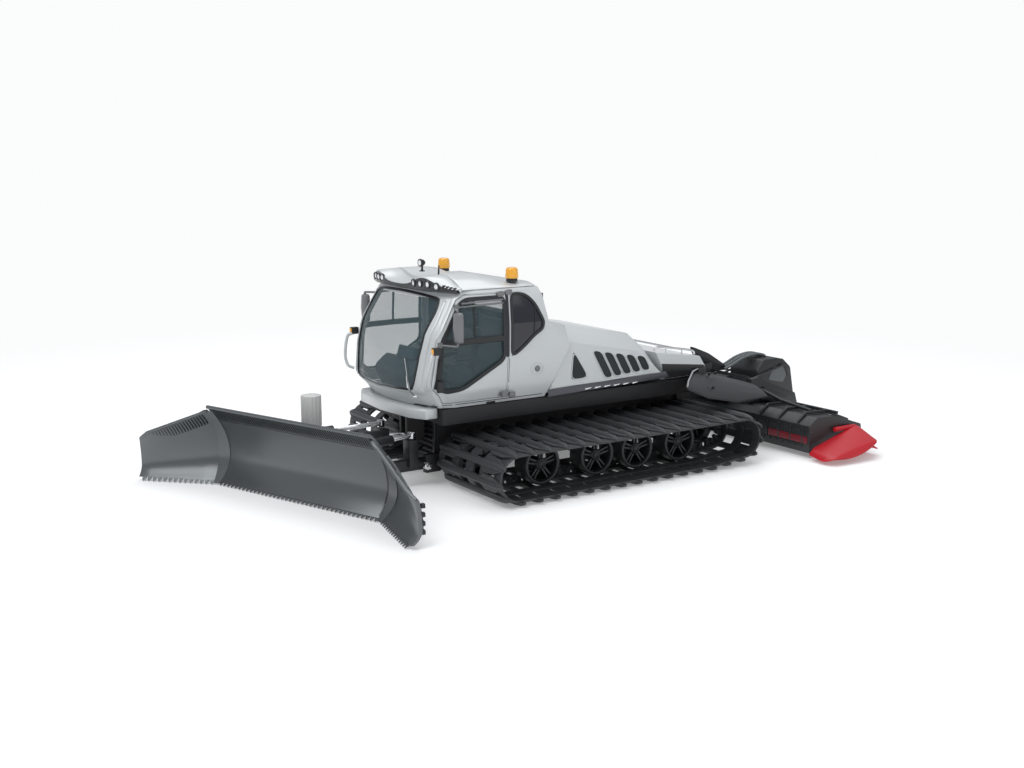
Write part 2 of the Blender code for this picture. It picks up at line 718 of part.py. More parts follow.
def cover_ring(y, top):
    """A section across the engine cover: upright sides, sloping shoulders and a flat top."""
    shoulder = max(top - COVER_SHOULDER, COVER_BOTTOM_Z + 1)
    right = [(COVER_HALF_WIDTH, COVER_BOTTOM_Z), (COVER_HALF_WIDTH, shoulder)]
    right.append((COVER_TOP_HALF_WIDTH, max(top, shoulder + 0.5)))
    return [(x, y, z) for x, z in right] + [(-x, y, z) for x, z in reversed(right)]


def make_cover(finishes):
    """The engine cover: its front edge runs along the cab's rear wall."""
    front = [(y + COVER_GAP, z) for y, z in cab_rear_line()]
    reach = (COVER_BOTTOM_Z - CAB_FLOOR_Z) / (front[-2][1] - CAB_FLOOR_Z)
    front[-1] = mix(front[-1], front[-2], reach)
    rear_y, rear_z = COVER_TOP_LINE[-1]
    sky = 150.0  # above everything, because the loft gives the top
    rear = [(rear_y, COVER_BOTTOM_Z - 1), (rear_y + 1, rear_z), (rear_y, sky)]
    outline = [*front, *rear, (front[0][0], sky)]
    line = [front[0], *COVER_TOP_LINE]
    slope = (line[1][1] - line[0][1]) / (line[1][0] - line[0][0])
    start = front[-1][0] - 4
    rings = [cover_ring(start, line[0][1] + slope * (start - line[0][0]))]
    rings += [cover_ring(y, z) for y, z in COVER_TOP_LINE]
    cover = loft("engine_cover", rings, finishes["body"])
    edge = prism("cover_edge", outline, "x", -COVER_HALF_WIDTH - 5, COVER_HALF_WIDTH + 5)
    change(cover, edge, "INTERSECT")


def make_deck(finishes):
    half = DECK_HALF_WIDTH
    deck = prism("rear_deck", DECK_OUTLINE, "x", -half, half, finishes["body"])
    low = FRAME_TOP + GAP
    join(deck, box("deck_foot", (-half + 4, half - 4), DECK_FOOT_Y, (low, DECK_OUTLINE[0][1] + 3)))
    for side_name, side in SIDES:
        rings = []
        for share in (0.0, 0.35, 0.7, 1.0):
            x = FENDER_INNER_X + share * (FENDER_OUTER_X - FENDER_INNER_X)
            crown = FENDER_CROWN * share * (1 - share)
            places = (0, 1 / 3, 2 / 3, 1)
            top = [mix(edge_at(FENDER_INNER, t), edge_at(FENDER_OUTER, t), share) for t in places]
            upper = [(side * x, y, z + crown) for y, z in top]
            lower = [(side * x, y, z + crown - FENDER_THICKNESS) for y, z in reversed(top)]
            rings.append(upper + lower)
        fender = loft(f"{side_name}_rear_fender", rings, finishes["dark"])
        reach, ys, zs = FENDER_BRACKET
        xs = sorted((side * (FENDER_INNER_X - reach), side * (FENDER_INNER_X + SUNK)))
        join(fender, box(f"{side_name}_fender_bracket", xs, ys, zs))


def mix(first, second, share):
    return tuple(a + (b - a) * share for a, b in zip(first, second))


def edge_at(edge, share):
    """A point at a share, 0 to 1, of an edge given by evenly spaced points."""
    place = share * (len(edge) - 1)
    i = min(int(place), len(edge) - 2)
    return mix(edge[i], edge[i + 1], place - i)


# ----------------------------------------------------------------------- blade


def blade_curve(height, depth, lip, plate=0.0):
    """The mouldboard's section as (forward, z): two parabolas that meet at the belly."""
    belly = BLADE_BELLY_Z * height / BLADE_HEIGHT
    points = []
    for share in (0.0, 0.12, 0.24, 0.37, 0.58, 0.8, 1.0):
        z = share * height
        if z < belly:
            forward = -depth + depth * ((belly - z) / belly) ** 2
        else:
            forward = -depth + (depth + lip) * ((z - belly) / (height - belly)) ** 2
        points.append((forward - plate, z + TOE_Z))
    return points


def blade_frame():
    """The blade's own axes at rest: along its width to the left, and forward."""
    turn = math.radians(YAW_REST)
    along = Vector((math.cos(turn), math.sin(turn), 0))
    forward = Vector((math.sin(turn), -math.cos(turn), 0))
    return Vector((0, YAW_PIVOT_Y, 0)), along, forward


def on_blade(u, forward, z):
    """A point of the blade: u along its width, and forward from the cutting edge's line."""
    pivot, along, ahead = blade_frame()
    return pivot + u * along + (BLADE_REACH + forward) * ahead + Vector((0, 0, z))


def board_ring(place, height, depth, lip):
    """A section of the mouldboard; place turns (forward, z) into a point."""
    front = blade_curve(height, depth, lip)
    back = blade_curve(height, depth, lip, BLADE_PLATE)[::-1]
    return [place(forward, z) for forward, z in [*front, *back]]


def make_blade_centre(finishes):
    half = BLADE_WIDTH / 2
    rings = []
    for u in (-half, half):
        place = lambda f, z, u=u: on_blade(u, f, z)
        rings.append(board_ring(place, BLADE_HEIGHT, BLADE_DEPTH, BLADE_LIP))
    blade = loft("blade_centre", rings, finishes["blade"])
    back = -BLADE_DEPTH - BLADE_PLATE
    parts = []
    ear_low = (KING_POST_Z[0] - SEAM - BLADE_ARM, KING_POST_Z[0] - SEAM)
    ear_high = (KING_POST_Z[1] + SEAM, KING_POST_Z[1] + SEAM + BLADE_ARM)
    for name, zs in (("low", ear_low), ("high", ear_high)):
        # The plate curves away from the arms' ends, more so at the height of the upper one.
        into = back + BLADE_ARM_INTO[name]
        rear = -BLADE_REACH - 6
        plan = [(-32, into), (24, into), (8, rear), (-17, rear)]
        rings = [[on_blade(u, f, z) for u, f in plan] for z in zs]
        parts.append(loft(f"blade_ear_{name}", rings))
    pin_foot = Vector((0, YAW_PIVOT_Y, ear_low[0] + 1))
    parts.append(rod("king_pin", pin_foot, (0, YAW_PIVOT_Y, ear_high[1] - 1), KING_BORE - BARREL_GAP))
    for side_name, side in SIDES:
        u, z = side * ANGLE_BARREL_U, ANGLE_BARREL_Z
        foot = on_blade(u, -ANGLE_BARREL_BACK, z)
        up = Vector((0, 0, EAR_GAP + 1))
        parts.append(rod(f"{side_name}_ear_pin", foot - up, foot + up, PIN_RADIUS, count=8))
        for low_high, zs in (("low", (-EAR_GAP - EAR, -EAR_GAP)), ("high", (EAR_GAP, EAR_GAP + EAR))):
            into, rear = back + 2.5, -ANGLE_BARREL_BACK - LUG_REACH
            left, right = u - LUG_REACH, u + LUG_REACH
            plan = [(left, into), (right, into), (right, rear), (left, rear)]
            rings = [[on_blade(a, f, z + height) for a, f in plan] for height in zs]
            parts.append(loft(f"{side_name}_ear_{low_high}", rings))
    join(blade, *parts)
    set_pivot(blade, (0, YAW_PIVOT_Y, 0))


def make_wing(side_name, side, finishes):
    """A side wing, folded forward about the upright line at the end of the cutting edge."""
    _, along, forward = blade_frame()
    hinge = on_blade(side * BLADE_WIDTH / 2, 0, 0)
    fold = math.radians(WING_FOLD[side_name])
    out = side * along * math.cos(fold) + forward * math.sin(fold)
    ahead = forward * math.cos(fold) - side * along * math.sin(fold)
    up = Vector((0, 0, 1))
    clear = math.sin(math.radians(WING_MOST_FOLD))
    sections = (
        (WING_GAP, BLADE_HEIGHT - 3, BLADE_DEPTH, BLADE_LIP - 1),
        (WING_LENGTH - WING_CHAMFER, WING_TIP_HEIGHT, WING_TIP_DEPTH + 1, -2.0),
        (WING_LENGTH, WING_TIP_HEIGHT - WING_CHAMFER * 0.7, WING_TIP_DEPTH, -WING_TIP_DEPTH + 2),
    )
    rings = []
    for u, height, depth, lip in sections:
        inner = u == WING_GAP

        def place(f, z, u=u, inner=inner):
            start = u + (max(0.0, f) * clear if inner else 0.0)
            return hinge + out * start + ahead * f + up * z

        rings.append(board_ring(place, height, depth, lip))
    wing = loft(f"{side_name}_blade_wing", rings, finishes["blade"])
    set_pivot(wing, hinge)


def make_lift_frame(finishes):
    pivot_y, pivot_z = LIFT_PIVOT
    x_in, x_out = LIFT_ARM_X
    head_y = (YAW_PIVOT_Y + KING_POST_RADIUS + 1, YAW_PIVOT_Y + KING_POST_RADIUS + 9)
    frame = box("lift_frame", (-x_out, x_out), head_y, (KING_POST_Z[0], HEAD_TOP_Z), finishes["dark"])
    parts = []
    post = [(0, YAW_PIVOT_Y, z) for z in KING_POST_Z]
    parts.append(rod("king_post", *post, KING_POST_RADIUS, count=16))
    parts.append(box("king_neck", (-5, 5), (YAW_PIVOT_Y, head_y[0] + 2), (KING_POST_Z[0] + 2, KING_POST_Z[1] - 2)))
    for side_name, side in SIDES:
        xs = sorted((side * x_in, side * x_out))
        arm = (head_y[1] - 2, pivot_y + 4)
        parts.append(box(f"{side_name}_arm", xs, arm, (pivot_z - 4, pivot_z + 5)))
        pin = Vector((side * ANGLE_ROD_PIN[0], ANGLE_ROD_PIN[1], ANGLE_ROD_PIN[2]))
        stand_x = sorted((side * (x_in + 1), side * (x_out + 5)))
        stand = (pin.y - LUG_REACH, pin.y + LUG_REACH)
        parts.append(box(f"{side_name}_stand", stand_x, stand, (pivot_z, pin.z - EYE_RADIUS - 0.6)))
    pin = Vector(LIFT_CYLINDER[0])
    for side in (-1, 1):
        xs = lug_range(pin.x, side, BARREL_RADIUS + BARREL_GAP)
        ys = (max(head_y[0] + SEAM, pin.y - LUG_REACH), head_y[1] - SEAM)
        parts.append(box(f"tower_{side}", xs, ys, (HEAD_TOP_Z - SUNK, pin.z + LUG_REACH)))
    reach = Vector((BARREL_RADIUS + 1, 0, 0))
    parts.append(rod("tower_pin", pin - reach, pin + reach, PIN_RADIUS, count=8))
    join(frame, *parts)
    top = (0, YAW_PIVOT_Y, BLADE_HEIGHT)
    cut(frame, rod("king_bore", (0, YAW_PIVOT_Y, 0), top, KING_BORE))
    set_pivot(frame, (0, pivot_y, pivot_z))


def make_knob(finishes):
    """The ribbed hand wheel of the height screw."""
    x, y = KNOB_AT
    outline = []
    for i in range(2 * KNOB_RIBS):
        turn = math.pi * i / KNOB_RIBS
        reach = KNOB_RADIUS + (KNOB_RIB if i % 2 else 0.0)
        outline.append((x + reach * math.cos(turn), y + reach * math.sin(turn)))
    foot = KING_POST_Z[1] + SEAM + BLADE_ARM + GAP
    knob = prism("height_knob", outline, "z", *KNOB_Z, finishes["knob"])
    join(knob, rod("knob_stem", (x, y, foot), (x, y, KNOB_Z[0] + 1), KNOB_STEM_RADIUS))


def make_cylinder(name, barrel_pin, rod_pin, barrel_length, rod_reach, pin_way, finishes):
    """A barrel hinged at its foot and a rod that slides in it, with an eye at the rod's end."""
    start, end = Vector(barrel_pin), Vector(rod_pin)
    way = (end - start).normalized()
    bore = ROD_RADIUS + AXLE_GAP
    ends = start - way * BARREL_RADIUS, start + way * barrel_length
    barrel = rod(f"{name}_barrel", *ends, BARREL_RADIUS, finishes["dark"])
    mouth = rod(f"{name}_bore", start + way * 5.0, start + way * (barrel_length + 2), bore, count=12)
    pin_way = Vector(pin_way)
    hole = start - pin_way * 9, start + pin_way * 9
    cut(barrel, mouth, rod(f"{name}_pin_hole", *hole, PIN_RADIUS + AXLE_GAP, count=8))
    shaft = rod(f"{name}_rod", end - way * rod_reach, end, ROD_RADIUS, finishes["silver"])
    half = pin_way * (EYE_RADIUS - 0.4)
    join(shaft, rod(f"{name}_eye", end - half, end + half, EYE_RADIUS, count=12))
    set_pivot(barrel, start)
    set_pivot(shaft, start)


def make_blade_cylinders(finishes):
    level, upright = (1, 0, 0), (0, 0, 1)
    sizes = LIFT_BARREL_LENGTH, LIFT_ROD_REACH, level
    make_cylinder("lift_cylinder", *LIFT_CYLINDER, *sizes, finishes)
    sizes = ANGLE_BARREL_LENGTH, ANGLE_ROD_REACH, upright
    for side_name, side in SIDES:
        foot = on_blade(side * ANGLE_BARREL_U, -ANGLE_BARREL_BACK, ANGLE_BARREL_Z)
        x, y, z = ANGLE_ROD_PIN
        name = f"{side_name}_angle_cylinder"
        make_cylinder(name, foot, (side * x, y, z), *sizes, finishes)


# ---------------------------------------------------------------------- tiller


def make_carrier(finishes):
    y, z = REAR_PIVOT
    end = LIFT_ARM_X[1]
    carrier = rod("rear_carrier", (-end, y, z), (end, y, z), CARRIER_TUBE_RADIUS, finishes["dark"])
    reach = HOUSING_OUTLINE[0][0] - GAP
    parts = []
    for side_name, side in SIDES:
        xs = sorted((side * CARRIER_ARM_X[0], side * CARRIER_ARM_X[1]))
        end_y, (low, high) = reach - CARRIER_HEAD_DEPTH / 2, CARRIER_ARM_END_Z
        outline = [(y, z - LUG_REACH), (y, z + LUG_REACH), (end_y, high), (end_y, low)]
        parts.append(prism(f"{side_name}_carrier_arm", outline, "x", *xs))
    head = (-CARRIER_HEAD_HALF_WIDTH, CARRIER_HEAD_HALF_WIDTH)
    parts.append(box("carrier_head", head, (reach - CARRIER_HEAD_DEPTH, reach), CARRIER_HEAD_Z))
    eye = Vector(REAR_CYLINDER[1])
    for side in (-1, 1):
        xs = lug_range(0, side, EYE_RADIUS + GAP)
        zs = (CARRIER_LUG_LOW_Z, eye.z + LUG_REACH)
        parts.append(box(f"carrier_lug_{side}", xs, (eye.y - LUG_REACH, reach), zs))
    join(carrier, *parts)
    set_pivot(carrier, (0, y, z))


def make_tiller(finishes):
    pivot = (0, *REAR_PIVOT)
    half = HOOD_HALF_WIDTH
    hood = prism("tiller_hood", HOOD_OUTLINE, "x", -half, half, finishes["dark"])
    housing = HOUSING_HALF_WIDTH
    inside = half - END_PLATE
    join(hood, prism("tiller_housing", HOUSING_OUTLINE, "x", -housing, housing))
    room = ROTOR_TIP + ROTOR_ROOM
    turns = [math.pi * i / 10 for i in range(11)]
    tunnel = [(ROTOR_Y + room * math.cos(t), ROTOR_Z + room * math.sin(t)) for t in turns]
    tunnel += [(ROTOR_Y - room, -5), (ROTOR_Y + room, -5)]
    cut(hood, prism("rotor_tunnel", tunnel, "x", -inside, inside))
    set_pivot(hood, pivot)
    finisher = prism("tiller_finisher", FINISHER_OUTLINE, "x", -half + 3, half - 3, finishes["dark"])
    set_pivot(finisher, pivot)
    make_tower(pivot, finishes)
    make_rotor(inside - GAP, finishes)


def make_tower(pivot, finishes):
    """The tower behind the housing, seated on its sloping top."""
    (top_y, top_z), (end_y, end_z), (foot_y, foot_z) = HOUSING_OUTLINE[2:5]
    first_y = TOWER_OUTLINE[0][0]
    front_slope = (top_z - HOUSING_OUTLINE[1][1]) / (top_y - HOUSING_OUTLINE[1][0])
    seat = [(foot_y + SEAM, foot_z + 1), (end_y + SEAM, end_z + GAP), (top_y, top_z + SEAM)]
    seat.append((first_y, top_z + front_slope * (first_y - top_y) + SEAM))
    tower = [*TOWER_OUTLINE, *seat]
    width = TOWER_HALF_WIDTH
    set_pivot(prism("tiller_tower", tower, "x", -width, width, finishes["dark"]), pivot)


def make_rotor(end, finishes):
    """The rotor, whose blades turn from its middle towards both ends."""
    outline = []
    for i in range(ROTOR_BLADES):
        for share, radius in ((0.0, ROTOR_CORE), (0.55, ROTOR_CORE), (0.62, ROTOR_TIP), (0.8, ROTOR_TIP)):
            turn = 2 * math.pi * (i + share) / ROTOR_BLADES
            outline.append((radius * math.cos(turn), radius * math.sin(turn)))
    steps = 8
    rings = []
    for step in range(steps + 1):
        share = 2 * step / steps - 1
        twist = math.radians(ROTOR_TWIST) * abs(share)
        cos, sin = math.cos(twist), math.sin(twist)
        rings.append([(share * end, ROTOR_Y + a * cos - b * sin, ROTOR_Z + a * sin + b * cos) for a, b in outline])
    rotor = loft("tiller_rotor", rings, finishes["dark"])
    set_pivot(rotor, (0, ROTOR_Y, ROTOR_Z))


def make_flaps(finishes):
    """The red side finishers, each hinged on the hood's end."""
    for side_name, side in SIDES:
        rings = []
        for share in (0.0, 0.5, 1.0):
            x = side * (FLAP_X[0] + share * (FLAP_X[1] - FLAP_X[0]))
            lift = FLAP_CROWN * share * (1 - share)
            top = [mix(a, b, share) for a, b in zip(FLAP_INNER, FLAP_OUTER)]
            upper = [(x, y, z + lift) for y, z in top]
            rings.append(upper + [(x, y, z - FLAP_THICKNESS) for _, y, z in reversed(upper)])
        flap = loft(f"{side_name}_side_finisher", rings, finishes["red"])
        x, z = side * FLAP_HINGE[0], FLAP_HINGE[1]
        ends = [(x, y, z) for y in FLAP_KNUCKLE_Y]
        join(flap, rod(f"{side_name}_knuckle", *ends, FLAP_KNUCKLE_RADIUS, count=10))
        set_pivot(flap, (x, ROTOR_Y, z))


def make_rear_cylinder(finishes):
    sizes = REAR_BARREL_LENGTH, REAR_ROD_REACH, (1, 0, 0)
    make_cylinder("rear_cylinder", *REAR_CYLINDER, *sizes, finishes)


for old in list(bpy.data.objects):
    bpy.data.objects.remove(old)
ORIGIN = bpy.data.objects.new("model_origin", None)
bpy.context.scene.collection.objects.link(ORIGIN)
ORIGIN.location = (0, -MIDDLE_Y * MM, 0)

FINISHES = materials()
make_running_gear(FINISHES)
make_chassis(FINISHES)
make_cab(FINISHES)
make_roof(FINISHES)
make_cab_inside(FINISHES)
make_bumper(FINISHES)
make_cover(FINISHES)
make_deck(FINISHES)
make_blade_centre(FINISHES)
for SIDE_NAME, SIDE in SIDES:
    make_wing(SIDE_NAME, SIDE, FINISHES)
make_lift_frame(FINISHES)
make_knob(FINISHES)
make_blade_cylinders(FINISHES)
make_carrier(FINISHES)
make_tiller(FINISHES)
make_flaps(FINISHES)
make_rear_cylinder(FINISHES)
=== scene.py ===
"""Looks of the toy snow groomer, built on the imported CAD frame."""

import json
import math

import bmesh
import bpy
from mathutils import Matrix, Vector
from mathutils.bvhtree import BVHTree


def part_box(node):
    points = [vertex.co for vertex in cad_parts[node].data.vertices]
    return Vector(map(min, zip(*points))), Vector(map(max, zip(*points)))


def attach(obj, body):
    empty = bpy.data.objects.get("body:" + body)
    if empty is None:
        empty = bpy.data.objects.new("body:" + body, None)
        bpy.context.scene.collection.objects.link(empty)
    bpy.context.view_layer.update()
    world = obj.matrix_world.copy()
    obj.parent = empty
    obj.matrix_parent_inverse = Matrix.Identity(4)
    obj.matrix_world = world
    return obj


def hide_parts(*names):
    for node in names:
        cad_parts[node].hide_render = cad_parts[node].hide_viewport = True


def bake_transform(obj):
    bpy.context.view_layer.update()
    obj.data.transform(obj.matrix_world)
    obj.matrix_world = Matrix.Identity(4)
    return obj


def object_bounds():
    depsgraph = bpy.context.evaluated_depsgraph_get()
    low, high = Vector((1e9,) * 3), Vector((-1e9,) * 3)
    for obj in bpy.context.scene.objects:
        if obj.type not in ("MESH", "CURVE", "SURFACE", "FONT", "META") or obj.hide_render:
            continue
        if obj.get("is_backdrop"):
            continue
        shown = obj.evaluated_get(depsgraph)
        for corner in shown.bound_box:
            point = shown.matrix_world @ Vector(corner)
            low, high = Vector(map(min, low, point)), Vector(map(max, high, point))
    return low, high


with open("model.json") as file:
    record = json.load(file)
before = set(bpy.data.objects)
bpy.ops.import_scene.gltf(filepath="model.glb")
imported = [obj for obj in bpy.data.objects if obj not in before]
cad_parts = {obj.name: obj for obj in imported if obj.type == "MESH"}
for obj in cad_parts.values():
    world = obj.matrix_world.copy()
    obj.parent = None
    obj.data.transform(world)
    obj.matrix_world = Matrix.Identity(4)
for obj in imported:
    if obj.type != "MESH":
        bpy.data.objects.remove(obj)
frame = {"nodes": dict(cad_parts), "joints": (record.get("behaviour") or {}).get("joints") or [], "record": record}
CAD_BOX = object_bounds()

MM = 0.001
NODES = frame["nodes"]
JOINTS = {joint["name"]: joint for joint in frame["joints"]}
BODY_OF = {
    node: body for body, nodes in frame["record"]["behaviour"]["bodies"].items() for node in nodes
}
SLOT_OF = {part["node"]: part["material_slot"] for part in frame["record"]["subparts"]}
SIDES = (("left", 1), ("right", -1))
# The lift frame's pin is over the front of the tracks, where the model's own y starts.
FRONT_Y = JOINTS["blade_lift"]["pos_m"][1]


def at(x, y, z):
    """A point given in millimetres, with y from the front of the tracks, in the frame's metres."""
    return Vector((x * MM, y * MM + FRONT_Y, z * MM))


def in_mm(point):
    """A point of the frame in millimetres, with y from the front of the tracks."""
    return Vector((point.x / MM, (point.y - FRONT_Y) / MM, point.z / MM))


def span(side, inner, outer):
    """The ends in x of a stretch on one side, lowest first."""
    return sorted((side * inner, side * outer))


def circle(count):
    """Angles evenly round a circle."""
    return [2 * math.pi * k / count for k in range(count)]


# ---------------------------------------------------------------- materials


COAT_ROUGHNESS = 0.12
CLOUD_SCALE, CLOUD_DETAIL = 14.0, 4.0
GLOSS_SPREAD = 0.12
GRAIN_DEPTH = 0.2 * MM
GLASS_IOR = 1.5


def noise(tree, place, scale):
    """A noise in the piece's own space."""
    node = tree.nodes.new("ShaderNodeTexNoise")
    node.inputs["Scale"].default_value = scale
    tree.links.new(place.outputs["Object"], node.inputs["Vector"])
    return node


def spread(tree, source, low, high):
    """A noise brought to a range."""
    node = tree.nodes.new("ShaderNodeMapRange")
    node.inputs["To Min"].default_value = low
    node.inputs["To Max"].default_value = high
    tree.links.new(source.outputs["Fac"], node.inputs["Value"])
    return node


def plastic(
    name, colour, roughness=0.45, metallic=0.0, coat=0.0, grain=0.03, grain_size=900.0, patches=0.06
):
    """Moulded plastic or painted metal: a faint change of colour, an uneven gloss and a fine grain."""
    material = bpy.data.materials.new(name)
    material.use_nodes = True
    tree = material.node_tree
    nodes, link = tree.nodes, tree.links.new
    shader = nodes["Principled BSDF"]
    shader.inputs["Metallic"].default_value = metallic
    shader.inputs["Coat Weight"].default_value = coat
    shader.inputs["Coat Roughness"].default_value = COAT_ROUGHNESS
    place = nodes.new("ShaderNodeTexCoord")
    cloud = noise(tree, place, CLOUD_SCALE)
    cloud.inputs["Detail"].default_value = CLOUD_DETAIL
    tint = nodes.new("ShaderNodeVectorMath")
    tint.operation = "SCALE"
    tint.inputs[0].default_value = colour
    link(spread(tree, cloud, 1 - patches, 1 + patches).outputs["Result"], tint.inputs["Scale"])
    link(tint.outputs["Vector"], shader.inputs["Base Color"])
    low, high = roughness * (1 - GLOSS_SPREAD), roughness * (1 + GLOSS_SPREAD)
    gloss = spread(tree, cloud, low, min(high, 1.0))
    link(gloss.outputs["Result"], shader.inputs["Roughness"])
    bump = nodes.new("ShaderNodeBump")
    bump.inputs["Strength"].default_value = grain
    bump.inputs["Distance"].default_value = GRAIN_DEPTH
    link(noise(tree, place, grain_size).outputs["Fac"], bump.inputs["Height"])
    link(bump.outputs["Normal"], shader.inputs["Normal"])
    return material


def pane(name, colour, alpha):
    """Tinted glazing: see-through, with the tint in its surface."""
    material = plastic(name, colour, 0.06, grain=0.0, patches=0.03)
    shader = material.node_tree.nodes["Principled BSDF"]
    shader.inputs["Alpha"].default_value = alpha
    shader.inputs["IOR"].default_value = GLASS_IOR
    return material


# The record's material slots.
FINISHES = {
    "body_white": plastic(
        "satin_white", (0.6, 0.625, 0.635), 0.3, metallic=0.12, coat=0.3, grain=0.015, patches=0.02
    ),
    "dark_plastic": plastic("satin_black", (0.014, 0.0155, 0.0175), 0.42, grain=0.05),
    "track_plastic": plastic("track_grey", (0.034, 0.036, 0.039), 0.5, grain=0.08, grain_size=600.0),
    "blade_gunmetal": plastic("gunmetal", (0.135, 0.145, 0.15), 0.3, metallic=0.6, grain=0.03),
    "tinted_glass": pane("tinted_glazing", (0.12, 0.18, 0.2), 0.24),
    "amber_lens": plastic("amber_lens", (0.9, 0.42, 0.03), 0.15, coat=0.6, grain=0.0),
    "red_plastic": plastic("satin_red", (0.5, 0.008, 0.018), 0.42, grain=0.05),
    "silver_rod": plastic("bright_silver", (0.72, 0.73, 0.74), 0.16, metallic=1.0, grain=0.01),
    "knob_grey": plastic("knob_grey", (0.6, 0.6, 0.59), 0.5, grain=0.05),
}


# Finishes of single pieces.
LOOKS = {
    "mirror_grey": plastic("mirror_grey", (0.17, 0.175, 0.18), 0.38, coat=0.3),
    "black_gloss": plastic("black_gloss", (0.03, 0.032, 0.034), 0.22, coat=0.5, grain=0.01),
    "lamp_lens": plastic("lamp_lens", (0.86, 0.88, 0.9), 0.1, metallic=0.3, coat=0.8, grain=0.0),
    "cab_teal": plastic("cab_teal", (0.022, 0.042, 0.052), 0.4, grain=0.06),
    "dark_glass": plastic("navy_panel", (0.008, 0.008, 0.016), 0.1, coat=0.4, grain=0.0),
    "grille": plastic("grille_black", (0.02, 0.026, 0.028), 0.6, grain=0.2, grain_size=1500.0),
    "plum_grey": plastic("plum_grey", (0.075, 0.075, 0.092), 0.34, coat=0.2),
    "deep_red": plastic("deep_red", (0.14, 0.004, 0.012), 0.45),
    "dull_grey": plastic("dull_grey", (0.12, 0.135, 0.14), 0.5),
    "shadow_black": plastic("shadow_black", (0.012, 0.012, 0.014), 0.5),
}


def finish_nodes():
    """Gives every CAD node its slot's finish."""
    for node, slot in SLOT_OF.items():
        materials = NODES[node].data.materials
        materials.clear()
        materials.append(FINISHES[slot])


# ---------------------------------------------------------------- shapes


class Shape:
    """Points and faces of one piece, in millimetres, with y from the front of the tracks."""

    def __init__(self):
        self.points, self.faces = [], []

    def add(self, points, faces):
        start = len(self.points)
        self.points += [Vector(point) for point in points]
        self.faces += [tuple(start + i for i in face) for face in faces]
        return self

    def loft(self, rings, looped=False):
        """A closed body through rings of equally many points; looped joins the last ring to the first."""
        count, rows = len(rings[0]), len(rings)
        faces = []
        for row in range(rows if looped else rows - 1):
            low, high = row * count, (row + 1) % rows * count
            for i in range(count):
                j = (i + 1) % count
                faces.append((low + i, low + j, high + j, high + i))
        if not looped:
            faces += [tuple(range(count)), tuple(range((rows - 1) * count, rows * count))]
        return self.add([point for ring in rings for point in ring], faces)

    def prism(self, outline, axis, low, high):
        """An outline drawn across an axis, drawn out along it."""
        place = {
            "x": lambda a, b, c: (c, a, b),
            "y": lambda a, b, c: (a, c, b),
            "z": lambda a, b, c: (a, b, c),
        }[axis]
        return self.loft([[place(a, b, c) for a, b in outline] for c in (low, high)])

    def block(self, low, high):
        corners = [(low[0], low[1]), (high[0], low[1]), (high[0], high[1]), (low[0], high[1])]
        return self.prism(corners, "z", low[2], high[2])

    def tube(self, path, radius, sides=12, looped=False):
        """A round tube along a path; a radius for each point, or one for all."""
        path = [Vector(point) for point in path]
        radii = radius if isinstance(radius, (list, tuple)) else [radius] * len(path)
        rings, first = [], None
        for i, here in enumerate(path):
            before = path[i - 1] if i or looped else here
            after = path[(i + 1) % len(path)] if i + 1 < len(path) or looped else here
            way = (after - before).normalized()
            if first is None:
                first = square_to(way)
            first = (first - way * first.dot(way)).normalized()
            second = way.cross(first)
            ring = [math.cos(t) * first + math.sin(t) * second for t in circle(sides)]
            rings.append([here + radii[i] * out for out in ring])
        return self.loft(rings, looped)

    def turned(self, centre, way, profile, sides=32):
        """A closed profile of (along, radius) points turned about an axis."""
        way = Vector(way).normalized()
        first = square_to(way).normalized()
        second = way.cross(first)
        rings = []
        for t in circle(sides):
            out = math.cos(t) * first + math.sin(t) * second
            rings.append([Vector(centre) + along * way + radius * out for along, radius in profile])
        return self.loft(rings, looped=True)


def square_to(way):
    """A direction at right angles to another."""
    return way.cross(Vector((0, 0, 1)) if abs(way.z) < 0.9 else Vector((1, 0, 0)))


# Distances in metres, under which points are one and faces are slivers.
SAME_POINT, SAME_CAD_POINT, SLIVER = 1e-6, 2e-6, 1e-7
FLAT_ANGLE = math.radians(1.5)


def finish_mesh(obj, bevel, smooth, segments):
    """Rounds the sharp edges a little and shades what is round as round."""
    edit = bmesh.new()
    edit.from_mesh(obj.data)
    bmesh.ops.recalc_face_normals(edit, faces=edit.faces)
    if bevel:
        sharp = [e for e in edit.edges if e.is_manifold and e.calc_face_angle(0) > math.radians(smooth)]
        options = {"segments": segments, "profile": 0.5, "affect": "EDGES", "clamp_overlap": True}
        bmesh.ops.bevel(edit, geom=sharp, offset=bevel * MM, **options)
        bmesh.ops.remove_doubles(edit, verts=edit.verts, dist=SAME_POINT)
        bmesh.ops.dissolve_degenerate(edit, edges=edit.edges, dist=SLIVER)
    edit.to_mesh(obj.data)
    edit.free()
    obj.data.shade_smooth()
    obj.data.set_sharp_from_angle(angle=math.radians(smooth))


def add_object(name, mesh):
    obj = bpy.data.objects.new(name, mesh)
    bpy.context.scene.collection.objects.link(obj)
    return obj


def make(
    name, shape, body="carrier", slot="dark_plastic", bevel=0.0, smooth=38, look=None, replaces=(),
    segments=2,
):
    """A piece of the visual model: it rides on its body, if any, and has its slot's finish or a look."""
    mesh = bpy.data.meshes.new(name)
    mesh.from_pydata([at(*point) for point in shape.points], [], shape.faces)
    obj = add_object(name, mesh)
    finish_mesh(obj, bevel, smooth, segments)
    mesh.materials.append(LOOKS[look] if look else FINISHES[slot])
    if body:
        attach(obj, body)
    if replaces:
        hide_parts(*replaces)
    return obj


